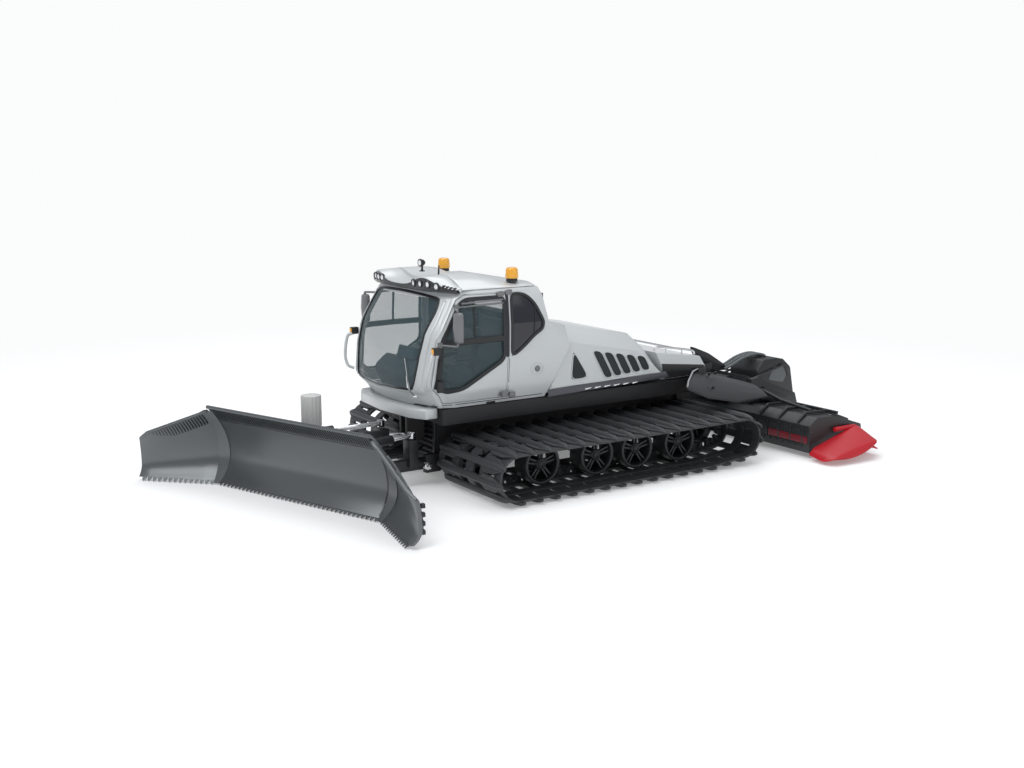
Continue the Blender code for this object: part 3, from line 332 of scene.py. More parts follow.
def soften(node, bevel, name=None, smooth=30, look=None, segments=2):
    """A copy of a CAD node with its edges rounded, in that node's place."""
    obj = add_object(name or f"{node}_moulding", NODES[node].data.copy())
    edit = bmesh.new()
    edit.from_mesh(obj.data)
    bmesh.ops.remove_doubles(edit, verts=edit.verts, dist=SAME_CAD_POINT)
    bmesh.ops.dissolve_limit(edit, angle_limit=FLAT_ANGLE, verts=edit.verts, edges=edit.edges)
    edit.to_mesh(obj.data)
    edit.free()
    finish_mesh(obj, bevel, smooth, segments)
    obj.data.materials.clear()
    obj.data.materials.append(LOOKS[look] if look else FINISHES[SLOT_OF[node]])
    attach(obj, BODY_OF[node])
    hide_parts(node)
    return obj


def node_box(node):
    """A node's lowest and highest corners, in millimetres, with y from the front of the tracks."""
    return tuple(in_mm(corner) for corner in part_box(node))


def middle_of(node):
    low, high = node_box(node)
    return (low + high) / 2


# ------------------------------------------------------------ running gear

BELT_THICK, BELT_WIDTH, BELT_COUNT, BELT_MARGIN = 1.8, 9.0, 5, 1.5
BAR_HEIGHT = 3.9
SHOE_COUNT = 37
BELT_STEPS = 4 * SHOE_COUNT
# The guide teeth: how far in from the track's inner edge they stand, and their height.
TOOTH_FROM, TOOTH_TO, TOOTH_HEIGHT = 43.2, 46.6, 6.0
# How far behind the last road wheel the track leaves the ground.
LAST_REACH = 12


def hull(cloud):
    """The outline round a cloud of points, counter-clockwise."""
    cloud = sorted(cloud)

    def half(points):
        chain = []
        for point in points:
            while len(chain) > 1:
                (ay, az), (by, bz) = chain[-2], chain[-1]
                if (by - ay) * (point[1] - az) - (bz - az) * (point[0] - ay) > 1e-9:
                    break
                chain.pop()
            chain.append(point)
        return chain[:-1]

    return half(cloud) + half(cloud[::-1])


def track_stations(side_name, count):
    """Places evenly along the track's outermost line: the point, the way along and the way out."""
    low, high = node_box(f"{side_name}_track")
    wheels = ("idler", "sprocket", "road_wheel_4")
    front, rear, last = (middle_of(f"{side_name}_{wheel}") for wheel in wheels)
    # columns: y and z of the centre, radius
    circles = (
        (front.y, front.z, front.z),
        (last.y + LAST_REACH, front.z, front.z),
        (rear.y, rear.z, high.z - rear.z),
    )
    cloud = []
    for y, z, radius in circles:
        cloud += [(y + radius * math.cos(t), z + radius * math.sin(t)) for t in circle(90)]
    loop = [Vector((y, z)) for y, z in hull(cloud)]
    lengths = [(loop[(i + 1) % len(loop)] - loop[i]).length for i in range(len(loop))]
    step = sum(lengths) / count
    places, edge, done = [], 0, 0.0
    for k in range(count):
        while done + lengths[edge] < k * step:
            done += lengths[edge]
            edge += 1
        start, end = loop[edge], loop[(edge + 1) % len(loop)]
        way = (end - start).normalized()
        point = start + way * (k * step - done)
        places.append((point, way, Vector((way.y, -way.x))))
    return places, low, high


def make_belts(side_name, side, stations, inner, width):
    """The track's belts, with a row of guide teeth on their inner face."""
    belts = Shape()
    pitch_x = (width - BELT_WIDTH - 5) / (BELT_COUNT - 1)
    for belt in range(BELT_COUNT):
        x0 = side * (inner + BELT_MARGIN + belt * pitch_x)
        x1 = x0 + side * BELT_WIDTH
        rings = []
        for point, _, out in stations:
            top = point - out * (BAR_HEIGHT - 0.2)
            under = top - out * BELT_THICK
            rings.append([(x0, *top), (x1, *top), (x1, *under), (x0, *under)])
        belts.loft(rings, looped=True)
    x0, x1 = side * (inner + TOOTH_FROM), side * (inner + TOOTH_TO)
    for point, along, out in stations[::2]:
        foot = point - out * (BAR_HEIGHT + BELT_THICK - 0.6)
        rings = []
        for lift, half in ((0.0, 2.4), (-TOOTH_HEIGHT * 0.7, 1.9), (-TOOTH_HEIGHT, 1.0)):
            a, b = foot + out * lift - along * half, foot + out * lift + along * half
            rings.append([(x0, *a), (x1, *a), (x1, *b), (x0, *b)])
        belts.loft(rings)
    make(f"{side_name}_track_belts", belts, slot="track_plastic", smooth=30)


def make_shoes(side_name, side, stations, inner, width):
    """The track's shoes: a bar across the belts, with a pad at each end."""
    bars = Shape()
    # columns: x from the inner edge, height, half width at the foot
    sections = (
        (0.0, 1.6, 2.0), (3.0, 3.4, 3.0), (8.0, 3.9, 3.3), (width - 12, 3.9, 3.3), (width - 5, 3.2, 2.8),
        (width, 1.5, 1.6),
    )
    # Half a pad's plan: x from the inner edge, half width. The inner pad is the outer one turned round.
    arrow = ((width - 33, 2.8), (width - 25, 6.6), (width - 12, 6.6), (width - 1.0, 1.6))
    plans = (arrow, tuple((width - x, half * 0.85) for x, half in arrow[::-1]))
    for point, along, out in stations[1::4]:
        foot = point - out * BAR_HEIGHT
        rings = []
        for x, height, half in sections:
            profile = (
                (-half, -0.4), (-half * 0.8, height * 0.5), (-half * 0.3, height), (half * 0.3, height),
                (half * 0.8, height * 0.5), (half, -0.4),
            )
            rings.append([(side * (inner + x), *(foot + along * a + out * b)) for a, b in profile])
        bars.loft(rings)
        for plan in plans:
            edge = [(x, -half) for x, half in plan] + [(x, half) for x, half in reversed(plan)]
            rings = []
            for height in (-0.3, 1.5):
                rings.append([(side * (inner + x), *(foot + along * a + out * height)) for x, a in edge])
            bars.loft(rings)
    replaced = (f"{side_name}_track",)
    make(
        f"{side_name}_track_shoes", bars, slot="track_plastic", bevel=0.25, smooth=25, replaces=replaced,
        segments=1,
    )


def make_track(side_name, side):
    stations, low, high = track_stations(side_name, BELT_STEPS)
    inner, outer = sorted((abs(low.x), abs(high.x)))
    make_belts(side_name, side, stations, inner, outer - inner)
    make_shoes(side_name, side, stations, inner, outer - inner)


def make_wheel(node, spokes, rim=2.6, double=True):
    """A moulded wheel: a rim with lips, a hub with a cap, and thin spokes in pairs."""
    low, high = node_box(node)
    middle = (low + high) / 2
    side = 1 if middle.x > 0 else -1
    radius, half = (high.z - low.z) / 2, (high.x - low.x) / 2
    wheel = Shape()
    lip = (
        (-half, radius - rim), (-half, radius - 0.5), (-half + 0.8, radius), (half - 0.8, radius),
        (half, radius - 0.5),
    )
    lip += ((half, radius - rim), (half - 1.2, radius - rim - 0.8), (-half + 1.2, radius - rim - 0.8))
    wheel.turned(middle, (side, 0, 0), lip, 44)
    hub = (
        (-half, 0.2), (-half, 4.6), (half - 3.5, 5.4), (half - 2.0, 4.4), (half - 2.0, 2.6),
        (half - 0.8, 2.3), (half - 0.6, 0.2),
    )
    wheel.turned(middle, (side, 0, 0), hub, 24)
    for k in range(spokes):
        for offset in (-0.13, 0.13) if double else (0.0,):
            turn = 2 * math.pi * k / spokes + 0.3
            root = Vector((0, math.cos(turn + offset * 2.2), math.sin(turn + offset * 2.2))) * 4.0
            tip = Vector((0, math.cos(turn + offset), math.sin(turn + offset))) * (radius - rim)
            across = Vector((0, -math.sin(turn), math.cos(turn)))
            rings = []
            for spot, thick, out in ((root, 1.0, half - 3.2), (tip, 0.8, half - 2.4)):
                corners = ((-thick, out - 2.6), (thick, out - 2.6), (thick, out), (-thick, out))
                rings.append([middle + spot + across * a + Vector((side * b, 0, 0)) for a, b in corners])
            wheel.loft(rings)
    make(f"{node}_moulding", wheel, bevel=0.2, replaces=(node,), segments=1)


def make_running_gear():
    for side_name, side in SIDES:
        make_track(side_name, side)
        for number in range(1, 5):
            make_wheel(f"{side_name}_road_wheel_{number}", 5)
        make_wheel(f"{side_name}_idler", 6, double=False)
        make_wheel(f"{side_name}_sprocket", 8, double=False)


# --------------------------------------------------------------------- cab

DOOR_SKIN = 0.7  # how far the rubber frames stand proud of the shell
# columns: height, half width, y of the windscreen pillars, y of the rear wall
CAB_LEVELS = (
    (71.0, 64.0, -11.0, 91.0),
    (86.0, 68.0, -23.0, 98.5),
    (113.0, 70.0, -20.0, 113.0),
    (131.0, 70.0, -15.5, 107.5),
    (136.0, 70.0, -13.0, 91.0),
    (158.0, 68.0, 0.0, 85.5),
    (165.0, 66.0, 5.0, 82.0),
)
# The front's plan curve: share of the half width, and how far behind the pillar line.
FRONT_CURVE = ((1.0, 14.0), (0.945, 3.0), (0.8, -2.5), (0.43, -9.5), (0.0, -12.0))
DOOR_WINDOW = (
    (-8.0, 85.0), (8.0, 86.0), (47.5, 107.5), (47.5, 158.5), (13.0, 158.5), (7.0, 155.5), (-10.5, 126.0),
    (-14.5, 90.0),
)
QUARTER = (
    (54.5, 109.0), (65.0, 115.5), (77.0, 125.5), (85.0, 130.0), (86.0, 136.0), (78.0, 151.0), (68.5, 159.5),
    (54.5, 161.0),
)
WINDSCREEN_HALF = (
    (0.0, 84.5), (30.0, 85.2), (48.5, 86.0), (53.0, 112.0), (55.0, 150.0), (52.0, 158.5), (30.0, 161.0),
    (0.0, 162.0),
)


def level_at(z):
    """The cab's half width, pillar line and rear line at a height."""
    for low, high in zip(CAB_LEVELS, CAB_LEVELS[1:]):
        if z <= high[0] or high is CAB_LEVELS[-1]:
            share = (z - low[0]) / (high[0] - low[0])
            return [a + (b - a) * share for a, b in zip(low[1:], high[1:])]


def on_side(y, z, out=0.0, side=1):
    """A point on the cab's side: beyond the front corner, the side follows the pillar curve."""
    half, front, _ = level_at(z)
    for (share, back), (next_share, next_back) in zip(FRONT_CURVE, FRONT_CURVE[1:]):
        if y < front + back:
            part = min(max((front + back - y) / (back - next_back), 0.0), 1.0)
            x = half * (share + (next_share - share) * part)
            if y >= front + next_back:
                return Vector((side * (x + out), y - out * 0.25, z))
    return Vector((side * (half + out), y, z))


def on_front(x, z, out=0.0):
    """A point on the windscreen's bulging face."""
    half, front, _ = level_at(z)
    share = min(abs(x) / half, 1.0)
    for (outer, outer_back), (inner, inner_back) in zip(FRONT_CURVE, FRONT_CURVE[1:]):
        if share >= inner:
            part = (outer - share) / (outer - inner)
            return Vector((x, front + outer_back + (inner_back - outer_back) * part - out, z))
    return Vector((x, front + FRONT_CURVE[-1][1] - out, z))


WALL_STEP = 4.0  # how far apart, at most, the points of a line on a curved wall are
CORNER_STEPS = 4
FRAME_CORNER = 6.0


def stepped(a, b):
    """Points every few millimetres from one point up to another, without the last."""
    count = max(int((b - a).length / WALL_STEP), 1)
    return [a.lerp(b, k / count) for k in range(count)]


def rounded(outline, radius):
    """The same closed outline with its corners cut round."""
    points = []
    count = len(outline)
    for i in range(count):
        before, here, after = (Vector(outline[j % count]) for j in (i - 1, i, i + 1))
        reach = min(radius, (before - here).length * 0.45, (after - here).length * 0.45)
        start = here + (before - here).normalized() * reach
        end = here + (after - here).normalized() * reach
        for k in range(CORNER_STEPS + 1):
            t = k / CORNER_STEPS
            points.append(tuple(start * (1 - t) ** 2 + here * 2 * t * (1 - t) + end * t**2))
    return points


def frame_band(shape, outline, place, width, proud, inset):
    """A flat frame of one width round an outline on a curved wall; place(a, b, out) puts a point there."""
    corners = [Vector(p) for p in rounded(outline, FRAME_CORNER)]
    points = [p for a, b in zip(corners, corners[1:] + corners[:1]) for p in stepped(a, b)]
    middle = sum(points, Vector((0, 0))) / len(points)
    count = len(points)
    rings = []
    for i in range(count):
        way = (points[(i + 1) % count] - points[i - 1]).normalized()
        out = Vector((way.y, -way.x))
        if out.dot(points[i] - middle) < 0:
            out = -out
        a, b = points[i] - out * (width - inset), points[i] + out * inset
        rings.append([place(*a, proud), place(*b, proud), place(*b, -0.6), place(*a, -0.6)])
    return shape.loft(rings, looped=True)


def strip_on(shape, path, place, width, proud, sunk=-0.5):
    """A raised strip along a path on a curved wall."""
    path = [Vector(p) for p in path]
    fine = [p for a, b in zip(path, path[1:]) for p in stepped(a, b)] + [path[-1]]
    rings = []
    for i, here in enumerate(fine):
        way = (fine[min(i + 1, len(fine) - 1)] - fine[max(i - 1, 0)]).normalized()
        out = Vector((way.y, -way.x)) * width / 2
        corners = ((here - out, proud), (here + out, proud), (here + out, sunk), (here - out, sunk))
        rings.append([place(*point, height) for point, height in corners])
    return shape.loft(rings)


def smooth_path(points, steps=6):
    """A smooth curve through the points, by Catmull and Rom's rule."""
    points = [Vector(p) for p in points]
    ends = [points[0] * 2 - points[1], *points, points[-1] * 2 - points[-2]]
    path = []
    for a, b, c, d in zip(ends, ends[1:], ends[2:], ends[3:]):
        for k in range(steps):
            t = k / steps
            bend, twist = 2 * a - 5 * b + 4 * c - d, 3 * b - a - 3 * c + d
            path.append(0.5 * (2 * b + (c - a) * t + bend * t**2 + twist * t**3))
    return [*path, points[-1]]


# The filler cap's place on the cab's side, as (y, z).
FILLER = (80.5, 96.5)


def side_place(side):
    """Puts (y, z, out) on one side of the cab."""
    return lambda y, z, out: on_side(y, z, out, side)


def make_door_trim(side_name, side):
    """The door's rubber frames, latch, rails and hinges."""
    place = side_place(side)
    door = f"{side_name}_door"
    rubber = frame_band(Shape(), list(DOOR_WINDOW), place, 3.2, DOOR_SKIN, inset=1.6)
    strip_on(rubber, [(-11.0, 124.3), (20.0, 124.8), (48.0, 124.6)], place, 4.6, 0.6, -2.6)
    strip_on(rubber, [(19.0, 126.0), (19.2, 158.5)], place, 1.5, -0.2, -2.2)
    strip_on(rubber, [(-15.5, 88.0), (-13.8, 96.0), (-12.0, 113.0)], place, 4.2, 1.1)
    strip_on(rubber, [(50.4, 109.0), (50.4, 161.0)], place, 2.6, DOOR_SKIN)
    make(f"{door}_rubber", rubber, door, bevel=0.25, segments=1)
    latch = Shape().block((side * 70.0 - 1.6, -16.5, 86.0), (side * 70.0 + 1.6, -11.5, 95.0))
    latch.tube([place(-15.5, 97, 1.6), place(-13.6, 106, 2.6), place(-12.6, 112, 1.6)], 1.0)
    make(f"{door}_latch", latch, door, bevel=0.3)
    rails = Shape()
    for z, start in ((155.2, 8.0), (152.4, 4.5)):
        rails.tube([place(start, z, 0.9), place(26, z + 1.0, 1.3), place(46, z + 1.4, 0.9)], 0.75, 8)
    hinges = ((44.0, 161.0, 68.9), (52.0, 162.0, 68.9), (47.0, 78.5, 70.9), (54.5, 77.5, 70.9))
    for y, z, outer in hinges:
        rails.tube([place(y - 3.2, z, 0.9), place(y + 3.2, z, 0.9)], 1.5, 10)
        plate = [(y - 2.6, z - 2.2), (y + 2.6, z - 2.2), (y + 2.6, z + 2.2), (y - 2.6, z + 2.2)]
        rails.prism(plate, "x", *span(side, 69.0, outer))
    make(f"{side_name}_door_rails", rails, door, bevel=0.3, look="mirror_grey")


def make_panel_trim(side_name, side):
    """The side panel behind the door: quarter window's rubber, gutter, seams, vents and filler cap."""
    place = side_place(side)
    panel = frame_band(Shape(), list(QUARTER), place, 2.4, DOOR_SKIN, inset=1.2)
    strip_on(panel, [(76.5, 127.5), (78.0, 149.0)], place, 0.9, 0.2)
    make(f"{side_name}_quarter_rubber", panel, bevel=0.25, segments=1)
    rain = strip_on(
        Shape(), [(-17.5, 84.0), (-21.0, 92.0), (-15.5, 127.0), (3.0, 159.0), (10.0, 163.4), (54.0, 163.2)],
        place, 1.8, 0.9,
    )
    make(f"{side_name}_rain_gutter", rain, slot="body_white", bevel=0.3, segments=1)
    seams = strip_on(Shape(), [(52.2, 76.0), (52.2, 108.0)], place, 0.5, 0.06)
    strip_on(seams, [(-16.0, 73.6), (88.0, 73.6)], place, 0.6, 0.06)
    make(f"{side_name}_panel_seams", seams)
    vents = Shape()
    for y in (-14.5, 37.0):
        strip_on(vents, [(y - 4.4, 71.9), (y + 4.4, 71.9)], place, 1.5, 0.4)
    make(f"{side_name}_sill_vents", vents, bevel=0.2)
    y, z = FILLER
    oval = [(y + 6.2 * math.cos(t), z + 4.6 * math.sin(t)) for t in circle(32)]
    dish = frame_band(Shape(), oval, place, 1.2, 0.5, inset=0.6)
    make(f"{side_name}_filler_ring", dish, slot="body_white", bevel=0.1)
    knob = ((-0.2, 0.1), (-0.2, 2.7), (0.7, 2.5), (1.1, 1.8), (1.2, 0.1))
    cap = Shape().turned(place(y, z, 0.0), (side, 0, 0), knob, 24)
    make(f"{side_name}_filler_cap", cap, bevel=0.15, look="mirror_grey")


def make_mirror(side_name, side):
    """A tall mirror with a rounded back on two bent stays."""
    low, high = node_box(f"{side_name}_mirror")
    out = side * (max(abs(low.x), abs(high.x)) - 4.6)
    rings = []
    arch = [math.pi * k / 10 for k in range(11)]
    # columns: height, half width, depth of the back
    for z, wide, deep in (
        (126.0, 3.6, 2.0), (127.2, 5.0, 3.6), (138.0, 5.3, 4.6), (148.6, 5.0, 3.8), (150.0, 3.6, 2.2)
    ):
        ring = [(out - side * wide * math.cos(t), -2.0 - deep * math.sin(t), z) for t in arch]
        rings.append(ring + [(out + side * wide, -0.8, z), (out - side * wide, -0.8, z)])
    shell = Shape().loft(rings)
    # columns: height of the stay, how far its bend is from it, height of its end, y and z of its root
    for z, bend, end, root_y, root_z in (
        (152.0, -0.4, 149.0, 3.0, 152.5), (123.0, 0.4, 127.0, -12.6, 123.5)
    ):
        root = on_side(root_y, root_z, 0.3, side)
        path = [root, (out - side * 1.5, -3.6, z), (out, -3.2, z + bend), (out, -2.6, end)]
        shell.tube(path, 0.95, 10)
        shell.block((root.x - 1.6, root_y - 1.4, root_z - 2.2), (root.x + 1.6, root_y + 2.2, root_z + 2.2))
    make(
        f"{side_name}_mirror_housing", shell, f"{side_name}_door", bevel=0.2, look="mirror_grey",
        replaces=(f"{side_name}_mirror",),
    )
    corners = rounded([(-4.2, 128.2), (4.2, 128.2), (4.2, 148.0), (-4.2, 148.0)], 2.0)
    glass = Shape().prism([(out + a, z) for a, z in corners], "y", -0.85, -0.3)
    make(f"{side_name}_mirror_glass", glass, f"{side_name}_door", "silver_rod", bevel=0.1)


def make_front_trim():
    full = [*WINDSCREEN_HALF, *[(-x, z) for x, z in reversed(WINDSCREEN_HALF[1:-1])]]
    rubber = frame_band(Shape(), full, on_front, 1.9, 0.55, inset=0.6)
    make("windscreen_rubber", rubber, bevel=0.2, segments=1)
    for side_name, side in SIDES:
        pillar = Shape()
        path = [(side * 55.0, 84.0), (side * 58.0, 110.0), (side * 59.5, 140.0), (side * 57.5, 157.0)]
        strip_on(pillar, path, on_front, 2.6, 1.0)
        make(f"{side_name}_pillar_rib", pillar, slot="body_white", bevel=0.5)
        handle = Shape()
        ends = [
            (70.0, -20.5, 117.5), (73.5, -24.0, 114.5), (71.5, -27.5, 100.0), (68.0, -27.0, 90.5),
            (64.5, -22.5, 87.5),
        ]
        handle.tube(smooth_path([(side * x, y, z) for x, y, z in ends]), 1.35, 12)
        make(f"{side_name}_grab_handle", handle, slot="body_white")
        lamp = Shape()
        x = side * 71.6
        lamp.block((x - 2.4, -21.5, 116.6), (x + 2.4, -14.6, 122.6))
        make(f"{side_name}_indicator_box", lamp, bevel=0.6)
        lens = Shape().block((x - 1.7, -22.0, 117.4), (x + 1.7, -21.4, 121.8))
        make(f"{side_name}_indicator_lens", lens, slot="amber_lens", bevel=0.2)
    wiper = Shape().tube([on_front(47, 81, 1.2), on_front(45.5, 88, 2.0), on_front(43, 97, 1.6)], 0.75, 8)
    wiper.tube([on_front(46.5, 86, 1.1), on_front(43.0, 97, 1.3), on_front(38.5, 111, 1.1)], 0.5, 8)
    wiper.turned(on_front(47, 81, 0.2), (0, -1, 0.1), ((0, 0.1), (0, 1.9), (1.6, 1.5), (1.6, 0.1)), 16)
    make("windscreen_wiper", wiper, slot="silver_rod")
    sill = strip_on(
        Shape(), [(-58.0, 82.2), (-30.0, 82.0), (0.0, 81.8), (30.0, 82.0), (58.0, 82.2)], on_front, 1.3, 0.7
    )
    strip_on(
        sill, [(-58.0, 77.0), (-30.0, 76.4), (0.0, 76.2), (30.0, 76.4), (58.0, 77.0)], on_front, 0.5, 0.1
    )
    make("nose_sill", sill, slot="body_white", bevel=0.3)


BROW_HALF, BROW_STEPS = 66.0, 60


def brow_edge(x):
    """The brow's upper edge: a peak over each lamp cluster and a notch in the middle."""
    peak = math.exp(-(((abs(x) - 38.0) / 15.0) ** 2))
    return 168.4 + 7.0 * peak - 1.6 * max(0.0, (abs(x) - 50) / 16)


def brow_front(x):
    """How far forward the brow reaches at a distance from the middle."""
    share = abs(x) / BROW_HALF
    return -14.0 + 1.4 * share + 16.5 * share**4


def make_brow():
    brow_rings, mask_rings = [], []
    for k in range(BROW_STEPS + 1):
        x = -BROW_HALF + 2.2 * k
        top, y = brow_edge(x), brow_front(x)
        droop = 0.8 * (abs(x) / BROW_HALF) ** 2
        low = 164.2 - droop
        ring = [(y + 1.6, low), (y, low + 1.4), (y + 0.6, top - 0.6), (y + 1.6, top)]
        brow_rings.append([(x, *spot) for spot in [*ring, (9.0, top + 0.6), (9.0, low + 1.2)]])
        low, top = 163.6 - droop, top - 0.9
        ring = [(y + 3.5, low), (y - 0.5, low + 1.4), (y + 0.1, top), (y + 2.0, top), (y + 3.0, low + 2.0)]
        mask_rings.append([(x, *spot) for spot in ring])
    brow = Shape().loft(brow_rings)
    make("roof_brow", brow, slot="body_white", bevel=0.3, replaces=("roof_visor",))
    mask = Shape().loft(mask_rings)
    for side in (1, -1):
        for k in range(4):
            x = side * (57.5 + 2.4 * k)
            z = brow_edge(x) - 1.6
            mask.block((x - 0.5, brow_front(x) - 0.4, z), (x + 0.5, brow_front(x) + 2.2, z + 2.4))
    make("brow_mask", mask, look="black_gloss")
    lens, bezel = Shape(), Shape()
    for side in (1, -1):
        for number, x in enumerate((27.0, 35.5, 44.0, 52.0)):
            z = 169.6 if number < 3 else 168.2
            y = brow_front(x)
            way = Vector((side * 0.12 * (number - 1), -1, -0.08))
            centre = Vector((side * x, y + 0.4, z))
            lens.turned(centre, way, ((0.0, 0.1), (0.0, 2.7), (0.7, 2.3), (1.2, 1.2), (1.35, 0.1)), 20)
            bezel.turned(centre, way, ((-0.5, 2.6), (-0.5, 3.5), (1.1, 3.3), (1.1, 2.6)), 20)
    make("brow_lamps", lens, slot="silver_rod", look="lamp_lens")
    make("brow_lamp_bezels", bezel)


def make_roof_top():
    """The roof's skin: two long humps that run back from the brow's peaks, then a flat rear."""
    rings = []
    for y in (9.3, 12.0, 20.0, 32.0, 44.0, 52.0, 60.0, 70.0, 80.0):
        fade = 1.0 if y < 38 else max(0.0, (60.0 - y) / 22.0)
        fade = fade * fade * (3 - 2 * fade)
        ring = []
        for k in range(41):
            x = -66.0 + 3.3 * k
            shoulder = 1 - max(0.0, (abs(x) - 52.0) / 14.0) ** 1.6
            hump = 5.4 * math.exp(-(((abs(x) - 36.0) / 17.0) ** 2))
            top = 165.9 + shoulder * (2.6 + fade * (hump + 2.4))
            ring.append((x, y, top))
        rings.append(ring + [(66.0, y, 165.4), (-66.0, y, 165.4)])
    skin = Shape().loft(rings)
    make("roof_skin", skin, slot="body_white", bevel=0.5, smooth=50, replaces=("cab_roof",))
    whip = Shape().tube([(4.0, 24.0, 168.0), (4.0, 24.0, 171.0), (4.0, 24.4, 180.5)], [1.2, 0.9, 0.5], 10)
    make("roof_antenna", whip)
    rear = Shape()
    for side in (1, -1):
        rear.block((side * 60 - 2.5, 84.5, 153.0), (side * 60 + 2.5, 90.5, 158.5))
        rear.tube([(side * 60, 84.0, 155.5), (side * 60, 81.0, 154.0)], 1.2, 8)
    make("rear_work_lamps", rear, bevel=0.8)


def make_lamps():
    for side_name, _ in SIDES:
        low, high = node_box(f"{side_name}_beacon")
        centre = Vector(((low.x + high.x) / 2, (low.y + high.y) / 2, low.z))
        r, tall = (high.x - low.x) / 2, high.z - low.z
        cap = Shape()
        profile = (
            (2.0, 0.1), (2.0, r - 0.3), (3.0, r), (tall - 1.6, r - 0.6), (tall - 0.5, r - 1.3),
            (tall, r - 2.6), (tall, 0.1),
        )
        cap.turned(centre, (0, 0, 1), profile, 28)
        nodes = (f"{side_name}_beacon",)
        make(f"{side_name}_beacon_lens", cap, slot="amber_lens", bevel=0.25, replaces=nodes)
        foot = Shape().turned(
            centre, (0, 0, 1), ((-0.6, 0.1), (-0.6, r - 0.6), (1.9, r - 0.9), (1.9, 0.1)), 24
        )
        make(f"{side_name}_beacon_foot", foot)
    low, high = node_box("search_light")
    x, y, z = 0.0, high.y - 1.0, high.z - 3.4
    lamp = Shape().turned(
        (x, y, z), (0, -1, 0),
        ((0.0, 0.1), (0.0, 1.4), (1.6, 2.6), (4.2, 3.4), (5.0, 3.3), (5.0, 2.8), (4.4, 0.1)), 28,
    )
    lamp.tube([(x, y - 2.5, low.z - 1.2), (x, y - 2.5, z)], 0.9, 10)
    lamp.turned((x, y - 2.5, low.z - 1.2), (0, 0, 1), ((0, 0.1), (0, 2.6), (0.8, 2.2), (0.8, 0.1)), 20)
    make("search_light_housing", lamp, bevel=0.15, replaces=("search_light",))
    lens = Shape().turned(
        (x, y - 4.5, z), (0, -1, 0), ((0.0, 0.1), (0.0, 2.75), (0.4, 2.4), (0.6, 0.1)), 24
    )
    make("search_light_lens", lens, slot="silver_rod", look="lamp_lens")


def make_cab_inside():
    seat = Shape().prism(
        rounded([(27, 88), (29, 93), (50, 92), (57, 88), (55, 80), (30, 80)], 3.0), "x", -12, 12
    )
    seat.prism(rounded([(49.5, 91), (54, 91), (62.5, 124), (58.5, 126), (55, 124)], 2.4), "x", -11, 11)
    seat.prism(rounded([(58.0, 127), (62.0, 127), (64.0, 137), (59.5, 137.5)], 1.6), "x", -6, 6)
    for side in (1, -1):
        seat.prism(rounded([(33, 98), (55, 99), (55, 102), (33, 101)], 1.2), "x", *span(side, 13.0, 16.5))
        seat.tube([(side * 4, 57.5, 122), (side * 4, 59.5, 130)], 0.8, 8)
    seat.block((-10, 32, 75), (10, 54, 81))
    make("seat_cushions", seat, bevel=1.1, replaces=("driver_seat",), segments=3, look="cab_teal")
    desk = Shape().prism(
        rounded([(-16, 88), (-17, 95), (-5, 104.5), (5, 98), (7, 84), (5, 76), (-10, 76)], 3.0), "x", -36,
        36,
    )
    desk.prism(rounded([(-8, 104), (2, 100), (4, 111), (-5, 114)], 1.5), "x", -14, 14)
    make("dashboard_moulding", desk, bevel=1.0, replaces=("dashboard",), look="cab_teal")
    desk_screen = Shape().block((17, -2, 103), (30, 0.5, 112))
    desk_screen.tube([(23.5, -1, 98), (23.5, -1, 104)], 0.9, 8)
    make("dashboard_screen", desk_screen, bevel=0.5)
    wheel = Shape()
    centre, way = Vector((0, 16, 110.3)), Vector((0, 0.5, 0.86)).normalized()
    side, lean = Vector((1, 0, 0)), way.cross(Vector((1, 0, 0)))

    def on_rim(turn):
        return centre + 10.6 * (math.cos(turn) * side + math.sin(turn) * lean)

    wheel.tube([on_rim(turn) for turn in circle(36)], 0.9, 10, looped=True)
    for turn in (0.2, 2.94, 4.71):
        wheel.tube([centre - way * 1.4, on_rim(turn)], 0.8, 8)
    wheel.tube([centre - way * 1.6, centre + way * 0.8], 2.6, 16)
    wheel.tube([centre, (0, 4.3, 99.5)], 1.3, 10)
    make("steering_wheel_moulding", wheel, replaces=("steering_wheel",), look="cab_teal")
    trim = Shape().block((-61, 20, 73.7), (61, 82, 74.6))
    trim.prism(rounded([(76, 75), (82, 75), (82, 132), (78, 132)], 1.5), "x", -60, 60)
    make("cab_lining", trim, bevel=0.5, look="cab_teal")


def make_cab():
    soften("cab_shell", 1.1, smooth=24)
    for side_name, side in SIDES:
        soften(f"{side_name}_door", 0.6, smooth=24)
        soften(f"{side_name}_door_glass", 0.0, smooth=24)
        soften(f"{side_name}_quarter_window", 0.0, smooth=24, look="dark_glass")
        make_door_trim(side_name, side)
        make_panel_trim(side_name, side)
        make_mirror(side_name, side)
    for node in ("windscreen", "rear_window"):
        soften(node, 0.0, smooth=24)
    soften("front_bumper", 1.6)
    make_front_trim()
    make_brow()
    make_roof_top()
    make_lamps()
    make_cab_inside()


# --------------------------------------------------------- cover and deck

# The cover's half width, used where no ray meets its side wall.
COVER_X = 67.0
# Corners of the cover's side openings, as (y, z): a ribbed triangle, then five slanted slots.
TRIANGLE = ((119.0, 107.0), (117.0, 83.0), (134.5, 83.5))
SLOT_TOP = ((139.0, 106.0), (199.5, 95.5))
SLOT_LOW = ((153.5, 81.0), (206.0, 84.0))
SLOT_COUNT = 5
SLOT_SHARE = 0.76
GRILLE_STEPS = 12


def lerp(a, b, t):
    return tuple(p + (q - p) * t for p, q in zip(a, b))


